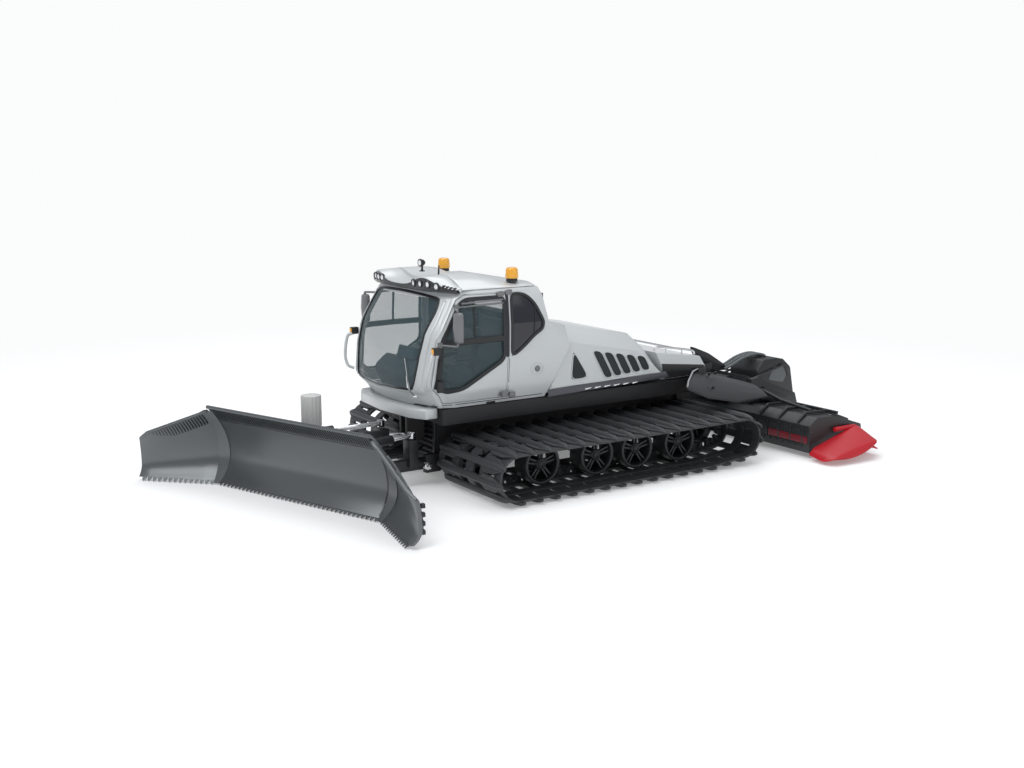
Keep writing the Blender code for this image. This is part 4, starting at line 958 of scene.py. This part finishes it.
def cover_slots():
    """The outlines of the slanted slots, front to rear."""
    slots = []
    for k in range(SLOT_COUNT):
        start, end = k / SLOT_COUNT, (k + SLOT_SHARE) / SLOT_COUNT
        top, low = (lerp(*SLOT_TOP, t) for t in (start, end)), (lerp(*SLOT_LOW, t) for t in (end, start))
        slots.append([*top, *low])
    return slots


def surface_of(node):
    """A node's mesh in mm, to find points on it."""
    source = NODES[node]
    points = [in_mm(source.matrix_world @ vert.co) for vert in source.data.vertices]
    return BVHTree.FromPolygons(points, [tuple(face.vertices) for face in source.data.polygons])


def on_surface(tree, side, y, z, out):
    """The point at y and z on the surface's side wall, moved out along its normal."""
    spot, normal, _, _ = tree.ray_cast(Vector((side * 200.0, y, z)), Vector((-side, 0, 0)))
    if spot is None:
        return Vector((side * (COVER_X + out), y, z))
    return spot + normal * out


def crossings(outline, z):
    """Where a level line crosses an outline."""
    found = []
    for (ya, za), (yb, zb) in zip(outline, [*outline[1:], outline[0]]):
        if (za > z) != (zb > z):
            found.append(ya + (yb - ya) * (z - za) / (zb - za))
    return sorted(found)


def add_grille(dark, rim, outline, place):
    """A dark field with level bars in one opening, and the raised edge round it."""
    soft = rounded(outline, 2.2)
    dark.loft([[place(y, z, out) for y, z in soft] for out in (0.12, -0.8)])
    frame_band(rim, outline, place, 0.9, 0.75, inset=0.9)
    z0, z1 = min(z for _, z in outline), max(z for _, z in outline)
    for step in range(1, GRILLE_STEPS):
        z = z0 + (z1 - z0) * step / GRILLE_STEPS
        ys = crossings(outline, z)
        if len(ys) == 2 and ys[1] - ys[0] > 2.4:
            strip_on(dark, [(ys[0] + 0.8, z), (ys[1] - 0.8, z)], place, 0.7, 0.5)


def make_cover():
    walls = surface_of("engine_cover")
    soften("engine_cover", 1.6, smooth=26, segments=3)
    half = node_box("engine_cover")[1].x
    for side_name, side in SIDES:
        dark, rim = Shape(), Shape()

        def place(y, z, out, side=side):
            return on_surface(walls, side, y, z, out)

        for outline in [list(TRIANGLE), *cover_slots()]:
            add_grille(dark, rim, outline, place)
        make(f"{side_name}_cover_grilles", dark, look="grille")
        make(f"{side_name}_grille_rims", rim, slot="body_white", bevel=0.2, segments=1)
        edge = strip_on(Shape(), [(96.0, 78.3), (150.0, 79.0), (206.0, 81.0)], place, 1.6, 0.9)
        make(f"{side_name}_cover_lip", edge, slot="body_white", bevel=0.4)
        outline = [(94.0, 77.0), (222.0, 80.0), (226.0, 74.5), (92.5, 70.4)]
        skirt = Shape().prism(outline, "x", *span(side, half - 1.2, half + 0.5))
        make(f"{side_name}_cover_skirt", skirt, bevel=0.4, look="plum_grey")
        lights = Shape()
        for k in range(6):
            y = 131.0 + 10.4 * k
            slot = [(y, 72.9), (y + 6.6, 73.2), (y + 7.0, 74.5), (y + 0.6, 74.2)]
            lights.prism(slot, "x", *span(side, half + 0.3, half + 0.9))
        make(f"{side_name}_skirt_slots", lights, slot="silver_rod", bevel=0.1)


def make_deck():
    soften("rear_deck", 1.4, smooth=26)
    half = node_box("rear_deck")[1].x
    rail = Shape()
    for side in (1, -1):
        x = side * 54.0
        path = [(x, 219.0, 97.0), (x, 222.0, 100.4), (x, 244.0, 97.4), (x, 264.0, 93.6), (x, 267.0, 90.0)]
        rail.tube(smooth_path(path, 4), 1.0, 10)
        for y, z in ((233.0, 94.0), (252.0, 91.2)):
            rail.tube([(x, y, z - 2), (x, y, z + 4.8)], 0.8, 8)
    rail.tube([(-54, 244, 97.4), (54, 244, 97.4)], 0.9, 10)
    make("deck_rails", rail, slot="silver_rod")
    band = Shape()
    for side in (1, -1):
        outline = [(222.0, 86.0), (273.0, 80.6), (276.0, 73.0), (226.0, 72.0)]
        band.prism(outline, "x", *span(side, half - 0.8, half + 0.5))
    make("deck_side_bands", band, bevel=0.4)
    for side_name, side in SIDES:
        soften(f"{side_name}_rear_fender", 0.7, smooth=50)
        tube = Shape()
        path = [
            (side * 64.5, 262.5, 78.0), (side * 75.0, 247.0, 78.5), (side * 92.0, 227.0, 74.0),
            (side * 100.5, 218.5, 71.6),
        ]
        tube.tube(path, 0.9, 10)
        make(f"{side_name}_fender_edge", tube, slot="silver_rod")
        bolts = Shape()
        for share in (0.28, 0.62):
            a, b = Vector((side * 66, 270 + 22 * share, 75.5)), Vector((side * 95, 240 + 22 * share, 62.5))
            for t in (0.15, 0.8):
                spot = a.lerp(b, t)
                bolts.turned(
                    spot, (side * 0.35, 0, 1),
                    ((-1.5, 0.1), (-1.5, 1.3), (0.9, 1.2), (1.3, 0.7), (1.3, 0.1)), 12,
                )
        make(f"{side_name}_fender_bolts", bolts)


# ------------------------------------------------------------------- blade

BLADE_WIDTH, BLADE_HEIGHT, BLADE_DEPTH, BLADE_LIP, BLADE_PLATE = 184.0, 68.0, 14.8, 7.3, 3.0
BLADE_BELLY, BLADE_REACH, TOE_Z, YAW_PIVOT_Y = 25.0, 57.0, 0.3, -67.0
BOARD_STEPS = 22
TOOTH_TOP, TOOTH_PITCH = 3.6, 4.6
SLOT_PITCH, SLOT_DROP, SLOT_HEIGHT = 2.6, 2.2, 9.2
# How far outwards the wing's inner end runs for each millimetre forward, so that it clears as it folds.
MITRE = 0.71


def blade_axes():
    """The blade's axes at rest, from its two wing hinges: along its width to the left, and forward."""
    left, right = (Vector(JOINTS[f"{name}_wing_fold"]["pos_m"]) for name in ("left", "right"))
    along = (left - right).normalized()
    return along, Vector((along.y, -along.x, 0))


ALONG, AHEAD = blade_axes()


def on_blade(u, forward, z):
    return Vector((0, YAW_PIVOT_Y, 0)) + u * ALONG + (BLADE_REACH + forward) * AHEAD + Vector((0, 0, z))


def board_at(z, height=BLADE_HEIGHT, depth=BLADE_DEPTH, lip=BLADE_LIP):
    """How far forward the mouldboard's face is at a height."""
    belly = BLADE_BELLY * height / BLADE_HEIGHT
    if z < belly:
        return -depth + depth * ((belly - z) / belly) ** 2
    return -depth + (depth + lip) * ((z - belly) / (height - belly)) ** 2


def board_section(height, depth, lip):
    """The mouldboard's section as (forward, height): up its face and down its back."""
    bottom = TOOTH_TOP - 1
    levels = [bottom + (height - bottom) * k / BOARD_STEPS for k in range(BOARD_STEPS + 1)]
    front = [(board_at(z, height, depth, lip), z + TOE_Z) for z in levels]
    return [*front, *[(f - BLADE_PLATE, z) for f, z in reversed(front)]]


def wing_place(side_name, side):
    """Turns (u along the wing, forward, z) into a point."""
    joint = JOINTS[f"{side_name}_wing_fold"]
    hinge = in_mm(Vector(joint["pos_m"]))
    hinge.z = 0
    fold = math.radians(-joint["range_deg"][0])
    out = side * ALONG * math.cos(fold) + AHEAD * math.sin(fold)
    ahead = AHEAD * math.cos(fold) - side * ALONG * math.sin(fold)
    return lambda u, f, z: hinge + out * u + ahead * f + Vector((0, 0, z))


def tooth_row(place, start, end, face):
    """Saw teeth under a cutting edge, which is this far forward of the mouldboard's face."""
    shape = Shape()
    count = int((end - start) / TOOTH_PITCH)
    for k in range(count):
        u = start + (end - start) * (k + 0.5) / count
        rings = []
        for z, half, thick in ((TOOTH_TOP, 1.75, 2.4), (TOOTH_TOP - 1.6, 1.6, 2.0), (0.35, 0.25, 0.8)):
            f = face + board_at(z)
            corners = ((-half, -0.2), (half, -0.2), (half, -thick), (-half, -thick))
            rings.append([place(u + a, f + b, z) for a, b in corners])
        shape.loft(rings)
    return shape


def slot_band(place, start, end, section_at):
    """Slanted slots in the band along the blade's top: thin dark cells on the face."""
    shape = Shape()
    count = int((end - start) / SLOT_PITCH)
    cell = ((-0.42, 0.25), (0.42, 0.25), (0.42, -0.5), (-0.42, -0.5))
    for k in range(count):
        u = start + (end - start) * (k + 0.5) / count
        height, depth, lip = section_at(u)
        top = height - SLOT_DROP
        rings = []
        for z, shift in ((top - SLOT_HEIGHT, -0.9), (top, 0.9)):
            f = board_at(z, height, depth, lip)
            rings.append([place(u + shift + a, f + b, z) for a, b in cell])
        shape.loft(rings)
    return shape


def make_blade():
    half = BLADE_WIDTH / 2
    section = board_section(BLADE_HEIGHT, BLADE_DEPTH, BLADE_LIP)
    board = Shape().loft([[on_blade(u, f, z) for f, z in section] for u in (-half, half)])
    make("blade_mouldboard", board, "blade", "blade_gunmetal", bevel=0.35, smooth=30)
    trim = Shape()
    # The rolled top edge, then the line under the slots. columns: forward, height, radius, sides
    line_z = BLADE_HEIGHT - 13
    rolls = (
        (board_at(BLADE_HEIGHT) - 1.2, BLADE_HEIGHT - 0.2, 1.5, 12),
        (board_at(line_z) + 0.1, line_z, 0.55, 8),
    )
    for f, z, radius, sides in rolls:
        trim.tube([on_blade(u, f, z) for u in (-half + 0.5, half - 0.5)], radius, sides)
    for k in range(9):
        u = -half + 6 + k * (BLADE_WIDTH - 12) / 8
        levels = [6.0 + (BLADE_HEIGHT - 12) * step / 8 for step in range(9)]
        outline = [(board_at(z) - BLADE_PLATE + 0.4, z) for z in levels]
        ring = [*outline, *[(f - 2.6, z) for f, z in reversed(outline)]]
        trim.loft([[on_blade(end, f, z) for f, z in ring] for end in (u - 0.8, u + 0.8)])
    for z in (12.0, 56.0):
        f = board_at(z) - BLADE_PLATE
        corners = ((f + 0.6, z - 2), (f - 2.6, z - 1.4), (f - 2.6, z + 1.4), (f + 0.6, z + 2))
        trim.loft([[on_blade(u, a, b) for a, b in corners] for u in (-half + 3, half - 3)])
    levels = [4.5 + (BLADE_HEIGHT - 5) * k / 20 for k in range(21)]
    edge = Shape().tube([on_blade(half - 2.9, board_at(z) + 0.1, z) for z in levels], 0.8, 8)
    make("blade_edge_strip", edge, "blade", look="black_gloss")
    make("blade_ribs", trim, "blade", "blade_gunmetal", bevel=0.3, segments=1)
    slots = slot_band(on_blade, -half + 4, half - 4, lambda u: (BLADE_HEIGHT, BLADE_DEPTH, BLADE_LIP))
    make("blade_slots", slots, "blade", look="grille")
    teeth = tooth_row(on_blade, -half + 2, half - 2, 0.0)
    make("blade_teeth", teeth, "blade", "blade_gunmetal")
    for side_name, side in SIDES:
        make_wing(side_name, side)
    make_blade_seals()


# How far the seal over each hinge reaches to either side, and the depth that the wings' slots follow.
SEAL_REACH, WING_SLOT_DEPTH = 2.6, 13.0


def wing_section_at(u):
    """The wing's height, depth and lip at a distance from its hinge."""
    stations = ((0.8, 65.0, 14.8, 6.3), (61.0, 42.0, 10.5, -2.0), (71.0, 35.0, 9.5, -7.5))
    for low, high in zip(stations, stations[1:]):
        if u <= high[0] or high is stations[-1]:
            t = (u - low[0]) / (high[0] - low[0])
            return [a + (b - a) * t for a, b in zip(low[1:], high[1:])]


def make_wing(side_name, side):
    place = wing_place(side_name, side)
    body = f"{side_name}_wing"
    rings = []
    for u in (0.8, 15.0, 30.0, 45.0, 61.0, 71.0):
        ring = []
        for f, z in board_section(*wing_section_at(u)):
            start = u + (max(0.0, f) * MITRE if u < 1 else 0.0)
            ring.append(place(start, f, z))
        rings.append(ring)
    wing = Shape().loft(rings)
    make(
        f"{side_name}_wing_mouldboard", wing, body, "blade_gunmetal", bevel=0.3, smooth=30,
        replaces=(f"{side_name}_blade_wing",),
    )
    path = []
    for u in (3.0, 20.0, 40.0, 61.0, 70.0):
        height, _, lip = wing_section_at(u)
        path.append(place(u, lip - 1.2, height - 0.2))
    trim = Shape().tube(path, 1.3, 10)
    for u in (14.0, 32.0, 50.0, 66.0):
        height, depth, lip = wing_section_at(u)
        levels = [5 + (height - 10) * k / 8 for k in range(9)]
        outline = [(board_at(z, height, depth, lip) - BLADE_PLATE + 0.4, z) for z in levels]
        ring = [*outline, *[(f - 2.2, z) for f, z in reversed(outline)]]
        trim.loft([[place(end, f, z) for f, z in ring] for end in (u - 0.8, u + 0.8)])
    make(f"{side_name}_wing_ribs", trim, body, "blade_gunmetal", bevel=0.3, segments=1)

    def slot_section(u):
        height, _, lip = wing_section_at(u)
        return height, WING_SLOT_DEPTH, lip

    slots = slot_band(place, 6.0, 59.0, slot_section)
    make(f"{side_name}_wing_slots", slots, body, look="grille")
    teeth = tooth_row(place, 2.0, 68.0, 0.3)
    make(f"{side_name}_wing_teeth", teeth, body, "blade_gunmetal")
    rack = Shape()
    corners = ((66.6, -12.0), (70.4, -12.0), (70.4, -15.0), (66.6, -15.0))
    for k in range(4):
        z = 10.0 + 6.4 * k
        rack.loft([[place(a, b, c) for a, b in corners] for c in (z, z + 3.2)])
    make(f"{side_name}_wing_tip_teeth", rack, body, bevel=0.3)


def make_blade_seals():
    """A thin strip over each hinge, which closes the gap."""
    section = wing_section_at(SEAL_REACH)
    for side_name, side in SIDES:
        place = wing_place(side_name, side)
        u = side * BLADE_WIDTH / 2
        rings = []
        for share in (0.0, 0.2, 0.4, 0.6, 0.8, 1.0):
            ring = []
            for k in range(15):
                z = 1.4 + 62.8 * k / 14
                on_centre = on_blade(u - side * SEAL_REACH, board_at(z) + 0.3, z)
                on_wing = place(SEAL_REACH + max(0.0, board_at(z)) * MITRE, board_at(z, *section) + 0.3, z)
                ring.append(on_centre.lerp(on_wing, share))
            rings.append(ring + [point - AHEAD * 0.9 for point in reversed(ring)])
        seal = Shape().loft(rings)
        obj = make(f"{side_name}_wing_seal", seal, None, "blade_gunmetal", smooth=60, segments=1)
        middle = sum(seal.points, Vector()) / len(seal.points)
        reach = side * ALONG * SEAL_REACH
        start, end = at(*(middle - reach)), at(*(middle + reach))
        tuple(start)
        tuple(end)
        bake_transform(obj)


# ------------------------------------------------------------------- front


def make_blade_ears():
    """The blade's lugs and arms, without the plate, which has its own smooth piece."""
    ears = soften("blade_centre", 0.0, name="blade_ears", smooth=30)
    work = bmesh.new()
    work.from_mesh(ears.data)
    to_world = ears.matrix_world
    pivot = Vector((0, YAW_PIVOT_Y, 0))
    gone = []
    for face in work.faces:
        spots = [in_mm(to_world @ vert.co) - pivot for vert in face.verts]
        if all(p.dot(AHEAD) - BLADE_REACH > board_at(p.z) - BLADE_PLATE - 1.4 for p in spots):
            gone.append(face)
    bmesh.ops.delete(work, geom=gone, context="FACES")
    work.to_mesh(ears.data)
    work.free()


def make_front():
    soften("lift_frame", 0.6)
    soften("chassis", 0.7, look="shadow_black")
    make_blade_ears()
    knob_low, knob_high = node_box("height_knob")
    middle = (knob_low + knob_high) / 2
    knob = Shape()
    outline = []
    for turn in circle(64):
        r = 8.1 + 0.45 * math.cos(turn * 16)
        outline.append((middle.x + r * math.cos(turn), middle.y + r * math.sin(turn)))
    knob.prism(outline, "z", knob_high.z - 26.0, knob_high.z)
    knob.tube([(middle.x, middle.y, knob_low.z), (middle.x, middle.y, knob_high.z - 25)], 2.4, 14)
    knob.tube([(middle.x, middle.y, knob_high.z - 31), (middle.x, middle.y, knob_high.z - 26)], 4.4, 18)
    make(
        "height_knob_moulding", knob, "blade", "knob_grey", bevel=0.5, smooth=50, replaces=("height_knob",)
    )
    for node in NODES:
        if "cylinder" in node:
            soften(node, 0.35, smooth=35)
    coupling = Shape()
    for side in (1, -1):
        coupling.tube([(side * 22.5, -4.5, 17), (side * 33.0, -4.5, 17)], 3.4, 16)
        coupling.tube([(side * 31.0, -4.5, 17), (side * 36.5, -4.5, 17)], 2.0, 12)
    make("lift_pin_caps", coupling, slot="silver_rod", bevel=0.4)
    grille = Shape()
    for k in range(7):
        grille.block((-26, 4.2, 22 + 4.4 * k), (26, 5.6, 24.2 + 4.4 * k))
    for side in (1, -1):
        grille.block((side * 27 - 1.4, 3.8, 20), (side * 27 + 1.4, 6.0, 52))
        grille.tube(
            smooth_path(
                [(side * 12, 3, 30), (side * 15, -6, 27), (side * 13, -20, 25), (side * 16, -42, 25)]
            ),
            1.1, 8,
        )
    make("nose_grille", grille, bevel=0.3)


# ------------------------------------------------------------------ tiller


def make_tiller():
    soften("rear_carrier", 0.6)
    soften("tiller_hood", 0.9, smooth=28)
    soften("tiller_tower", 2.2, smooth=32, segments=3)
    soften("tiller_finisher", 0.3)
    make_tiller_frame()
    make_tower()
    make_hood_front()
    make_rotor()
    make_combs()
    for side_name, side in SIDES:
        make_flap(side_name, side)


def make_tiller_frame():
    """The ribs, the end cheeks and the pipes on the hood."""
    dress = Shape()
    for x in (-128, -104, -80, 80, 104, 128):
        outline = [
            (329.0, 30.4), (338.5, 37.6), (362.5, 36.6), (395.0, 25.6), (395.0, 27.6), (363.5, 39.4),
            (338.0, 40.4), (327.6, 32.0),
        ]
        dress.prism(outline, "x", x - 1.0, x + 1.0)
    for side in (1, -1):
        x = span(side, 56.0, 61.0)
        dress.prism(
            [(334.5, 38), (334.5, 60.5), (344.0, 61.5), (394.0, 41.5), (398.0, 30.0), (360.0, 37.5)], "x",
            *x,
        )
        dress.prism(
            [(346.0, 40), (350.0, 52.0), (380.0, 41.0), (384.0, 33.0)], "x", *span(side, 61.0, 64.5)
        )
        dress.tube([(side * 62, 346, 50), (side * 84, 352, 42), (side * 122, 352, 38.5)], 1.7, 10)
    dress.block((-139, 366.5, 36.4), (139, 369.5, 39.0))
    make("tiller_frame", dress, "tiller", bevel=0.5)


def make_tower():
    """The tower's fin, its recessed sides, its braces and its hoses."""
    fin = Shape().prism(
        rounded(
            [
                (311.0, 86.5), (315.5, 77.0), (324.0, 64.5), (336.0, 60.0), (362.0, 58.5), (352.0, 66.5),
                (333.0, 78.0),
            ],
            3.0,
        ),
        "x", -2.4, 2.4,
    )
    make("tiller_fin", fin, "tiller", bevel=0.5)
    recess = Shape()
    for side in (1, -1):
        spots = rounded([(398.0, 47.5), (405.0, 60.5), (419.0, 60.0), (424.0, 52.0), (419.0, 43.0)], 3.0)
        recess.prism(spots, "x", *span(side, 19.2, 20.25))
    make("tower_recess", recess, "tiller", look="dull_grey")
    brace = Shape()
    for side in (1, -1):
        x = side * 21.3
        brace.tube([(x, 374.0, 50.5), (x, 418.0, 61.5)], 1.3, 8)
        hook = [(412.0, 63.0), (425.0, 60.0), (428.0, 52.0), (424.0, 50.0), (420.0, 58.0)]
        brace.prism(hook, "x", *span(side, 19.6, 21.0))
    make("tower_braces", brace, "tiller", bevel=0.3)
    hose = Shape()
    for x in (-5.0, 0.0, 5.0):
        hose.tube(
            smooth_path(
                [(x, 352, 61), (x, 362, 64), (x, 376, 69.5), (x, 392, 72.2), (x, 404, 70.5), (x, 409, 67)]
            ),
            1.5, 10,
        )
    make("tower_hoses", hose, "tiller", look="dull_grey")


def make_hood_front():
    """The hood's front wall: upright ribs, a scalloped lower edge and a dark red strip at each end."""
    front = surface_of("tiller_hood")
    ribs, scallops, strips = Shape(), Shape(), Shape()

    def wall(x, z):
        spot, _, _, _ = front.ray_cast(Vector((x, 200.0, z)), Vector((0, 1, 0)))
        return spot.y if spot else 327.0

    for k in range(19):
        x = -135.0 + 15.0 * k
        y = wall(x, 22.0)
        ribs.prism(
            [(y + 0.5, 12.0), (y - 1.0, 14.0), (y - 1.0, 27.0), (y + 0.5, 29.5)], "x", x - 0.9, x + 0.9
        )
        ribs.block((x + 3.0, y - 0.5, 24.0), (x + 12.0, y + 0.5, 25.4))
    for k in range(34):
        x = -136.0 + 8.0 * k
        y = wall(x + 4, 12.0)
        scallops.prism(
            [(x + 0.6, 12.6), (x + 7.4, 12.6), (x + 6.6, 9.9), (x + 4.0, 9.2), (x + 1.4, 9.9)], "y",
            y - 0.9, y + 0.6,
        )
    for side in (1, -1):
        x = span(side, 92.0, 141.0)
        y = wall(side * 120.0, 17.0)
        strips.block((x[0], y - 0.7, 13.6), (x[1], y + 0.6, 20.0))
    make("hood_front_ribs", ribs, "tiller", bevel=0.2, segments=1)
    make("hood_scallops", scallops, "tiller", bevel=0.2, segments=1)
    make("hood_front_strips", strips, "tiller", "red_plastic", bevel=0.3, look="deep_red")


ROTOR_ROWS = 44


def make_rotor():
    low, high = node_box("tiller_rotor")
    centre = (low + high) / 2
    rotor = Shape().tube([(low.x, centre.y, centre.z), (high.x, centre.y, centre.z)], 7.6, 28)
    tip = (high.z - low.z) / 2 - 0.2
    for k in range(ROTOR_ROWS):
        x = low.x + 4 + (high.x - low.x - 8) * k / (ROTOR_ROWS - 1)
        for quarter in circle(4):
            turn = quarter + k * 0.33
            out = Vector((0, math.cos(turn), math.sin(turn)))
            way = Vector((0, -out.z, out.y))
            spot = Vector((x, centre.y, centre.z))
            rings = []
            for r, half, lean in ((6.8, 2.4, 0.0), (10.8, 2.0, 0.6), (tip, 0.7, 1.8)):
                base = spot + out * r + way * lean
                corners = ((half, 1.1), (half, -1.1), (-half, -1.1), (-half, 1.1))
                rings.append([base + way * a + Vector((b, 0, 0)) for a, b in corners])
            rotor.loft(rings)
    make("tiller_rotor_teeth", rotor, "rotor", "dark_plastic", smooth=40, replaces=("tiller_rotor",))


def make_combs():
    """Rows of flexible combing fingers under the finisher's rear edge."""
    combs = Shape()
    for k in range(46):
        x = -136.0 + 272.0 * k / 45
        rings = []
        for y, z, half in ((405.0, 14.5, 1.9), (410.5, 8.4, 1.7), (414.5, 4.0, 1.2), (418.0, 1.2, 0.7)):
            low_y, low_z = y - 1.2, z - 0.7
            rings.append(
                [(x - half, y, z), (x + half, y, z), (x + half, low_y, low_z), (x - half, low_y, low_z)]
            )
        combs.loft(rings)
    combs.block((-138, 401.5, 13.4), (138, 405.5, 17.0))
    make("finisher_combs", combs, "tiller")
    low_face = Shape().prism([(396.0, 22.4), (398.0, 24.2), (412.0, 10.5), (410.0, 9.0)], "x", -137, 137)
    make("finisher_red_strip", low_face, "tiller", "red_plastic", bevel=0.4)


FLAP_STEPS = 14


def make_flap(side_name, side):
    """A red side finisher: a crowned plate with turned-down edges, and a thin tongue behind it."""
    low, high = node_box(f"{side_name}_side_finisher")
    x0, x1 = 146.6, max(abs(low.x), abs(high.x)) - 0.4
    flap = Shape()
    rings = []
    for k in range(FLAP_STEPS + 1):
        upper = []
        for j in range(FLAP_STEPS + 1):
            # The plan is a square with its outer corners drawn in, and its rim turns down.
            a, b = 2 * k / FLAP_STEPS - 1, 2 * j / FLAP_STEPS - 1
            pull = 1 - 0.16 * (a * b) ** 2 if a > 0 else 1.0
            a, b = a * pull, b * pull
            out, back = (a + 1) / 2, (b + 1) / 2
            x = x0 + (x1 - x0) * out
            y = (325.0 - 4.5 * out) + (64.0 + 2.0 * out) * back
            rise = (9.5 - 3.6 * out) + (18.0 - 8.0 * out) * back
            crown = 1.5 * (1 - a * a) * (1 - b * b)
            rim = max(0.0, (max(abs(b), a) - 0.8) / 0.2)
            upper.append((side * x, y, max(rise + crown - 3.4 * rim**2, 1.8)))
        rings.append(upper + [(px, py, max(pz - 1.4, 0.5)) for px, py, pz in reversed(upper)])
    flap.loft(rings)
    x, y0, y1 = side * (x0 - 1.0), 358.0, 384.0
    flap.tube([(x, y0, 24.3), (x, y1, 24.3)], 2.2, 14)
    body = f"{side_name}_finisher"
    make(
        f"{side_name}_flap", flap, body, "red_plastic", bevel=0.3, smooth=48,
        replaces=(f"{side_name}_side_finisher",),
    )
    tongue = Shape()
    outline = [(376.0, 18.0), (382.0, 10.0), (394.0, 5.0), (394.0, 6.4), (384.0, 11.8), (379.0, 19.5)]
    tongue.prism(outline, "x", *span(side, 150.0, 166.0))
    make(f"{side_name}_flap_tongue", tongue, body, "red_plastic", bevel=0.3)


# ------------------------------------------------------------------- scene

BACKDROP = (0.965, 0.97, 0.972, 1)


def white_where_seen(nodes, links, seen, lit):
    """A shader that is plain white to the camera, also through glass, and lit to everything else."""
    path = nodes.new("ShaderNodeLightPath")
    either = nodes.new("ShaderNodeMath")
    either.operation = "MAXIMUM"
    links.new(path.outputs["Is Camera Ray"], either.inputs[0])
    links.new(path.outputs["Is Transmission Ray"], either.inputs[1])
    mix = nodes.new("ShaderNodeMixShader")
    links.new(either.outputs["Value"], mix.inputs["Fac"])
    links.new(lit.outputs[0], mix.inputs[1])
    links.new(seen.outputs[0], mix.inputs[2])
    return mix


def make_world():
    world = bpy.data.worlds.new("studio")
    bpy.context.scene.world = world
    world.use_nodes = True
    nodes, links = world.node_tree.nodes, world.node_tree.links
    lit = nodes["Background"]
    lit.inputs["Color"].default_value = (0.93, 0.96, 1.0, 1)
    lit.inputs["Strength"].default_value = 0.5
    seen = nodes.new("ShaderNodeBackground")
    seen.inputs["Color"].default_value = BACKDROP
    mix = white_where_seen(nodes, links, seen, lit)
    links.new(mix.outputs["Shader"], nodes["World Output"].inputs["Surface"])


def make_floor_finish():
    """Matt and pale near the object, where it takes shadows, and one with the backdrop further off."""
    material = bpy.data.materials.new("pale_floor")
    material.use_nodes = True
    nodes, links = material.node_tree.nodes, material.node_tree.links
    near = nodes["Principled BSDF"]
    near.inputs["Base Color"].default_value = (0.85, 0.855, 0.86, 1)
    near.inputs["Roughness"].default_value = 1.0
    near.inputs["Specular IOR Level"].default_value = 0.0
    near.inputs["Emission Color"].default_value = BACKDROP
    near.inputs["Emission Strength"].default_value = 0.22
    far = nodes.new("ShaderNodeEmission")
    far.inputs["Color"].default_value = BACKDROP
    place = nodes.new("ShaderNodeTexCoord")
    length = nodes.new("ShaderNodeVectorMath")
    length.operation = "LENGTH"
    links.new(place.outputs["Object"], length.inputs[0])
    share = nodes.new("ShaderNodeMapRange")
    share.interpolation_type = "SMOOTHSTEP"
    share.inputs["From Min"].default_value = 0.35
    share.inputs["From Max"].default_value = 1.1
    links.new(length.outputs["Value"], share.inputs["Value"])
    mix = nodes.new("ShaderNodeMixShader")
    links.new(share.outputs["Result"], mix.inputs["Fac"])
    links.new(near.outputs["BSDF"], mix.inputs[1])
    links.new(far.outputs["Emission"], mix.inputs[2])
    links.new(mix.outputs["Shader"], nodes["Material Output"].inputs["Surface"])
    return material


def make_floor():
    bpy.ops.mesh.primitive_circle_add(vertices=96, radius=9.0, fill_type="NGON", location=(0, 0, -0.0002))
    floor = bpy.context.object
    floor.name = "floor"
    floor.data.materials.append(make_floor_finish())
    floor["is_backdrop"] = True


def make_lamp(name, place, size, power, aim=(0, 0, 0.06), colour=(1, 1, 1)):
    data = bpy.data.lights.new(name, "AREA")
    data.shape = "DISK"
    data.size = size
    data.energy = power
    data.color = colour
    lamp = bpy.data.objects.new(name, data)
    bpy.context.scene.collection.objects.link(lamp)
    lamp.location = place
    lamp.rotation_euler = (Vector(aim) - Vector(place)).to_track_quat("-Z", "Y").to_euler()


CAMERA_PLACE = (916.9, -508.3, 274.8)
CAMERA_AZIMUTH = 56.406
CAMERA_PITCH = 10.514
CAMERA_LENS = 44.18


def make_camera():
    data = bpy.data.cameras.new("camera")
    data.lens = CAMERA_LENS
    data.sensor_width = 36.0
    camera = bpy.data.objects.new("camera", data)
    bpy.context.scene.collection.objects.link(camera)
    camera.location = at(*CAMERA_PLACE)
    camera.rotation_euler = (math.radians(90 - CAMERA_PITCH), 0, math.radians(CAMERA_AZIMUTH))
    bpy.context.scene.camera = camera
    bpy.context.scene.view_settings.view_transform = "Standard"


make_camera()
make_world()
make_floor()
make_lamp("key", (0.3, -1.2, 1.7), 1.4, 17)
make_lamp("fill", (1.6, 0.5, 1.0), 1.6, 4.5)
make_lamp("top", (-0.5, 0.4, 1.8), 1.6, 13)
finish_nodes()
make_running_gear()
make_cab()
make_cover()
make_deck()
make_blade()
make_front()
make_tiller()

boxes = {"cad": CAD_BOX, "visual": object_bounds()}
{name: [list(corner) for corner in box] for name, box in boxes.items()}
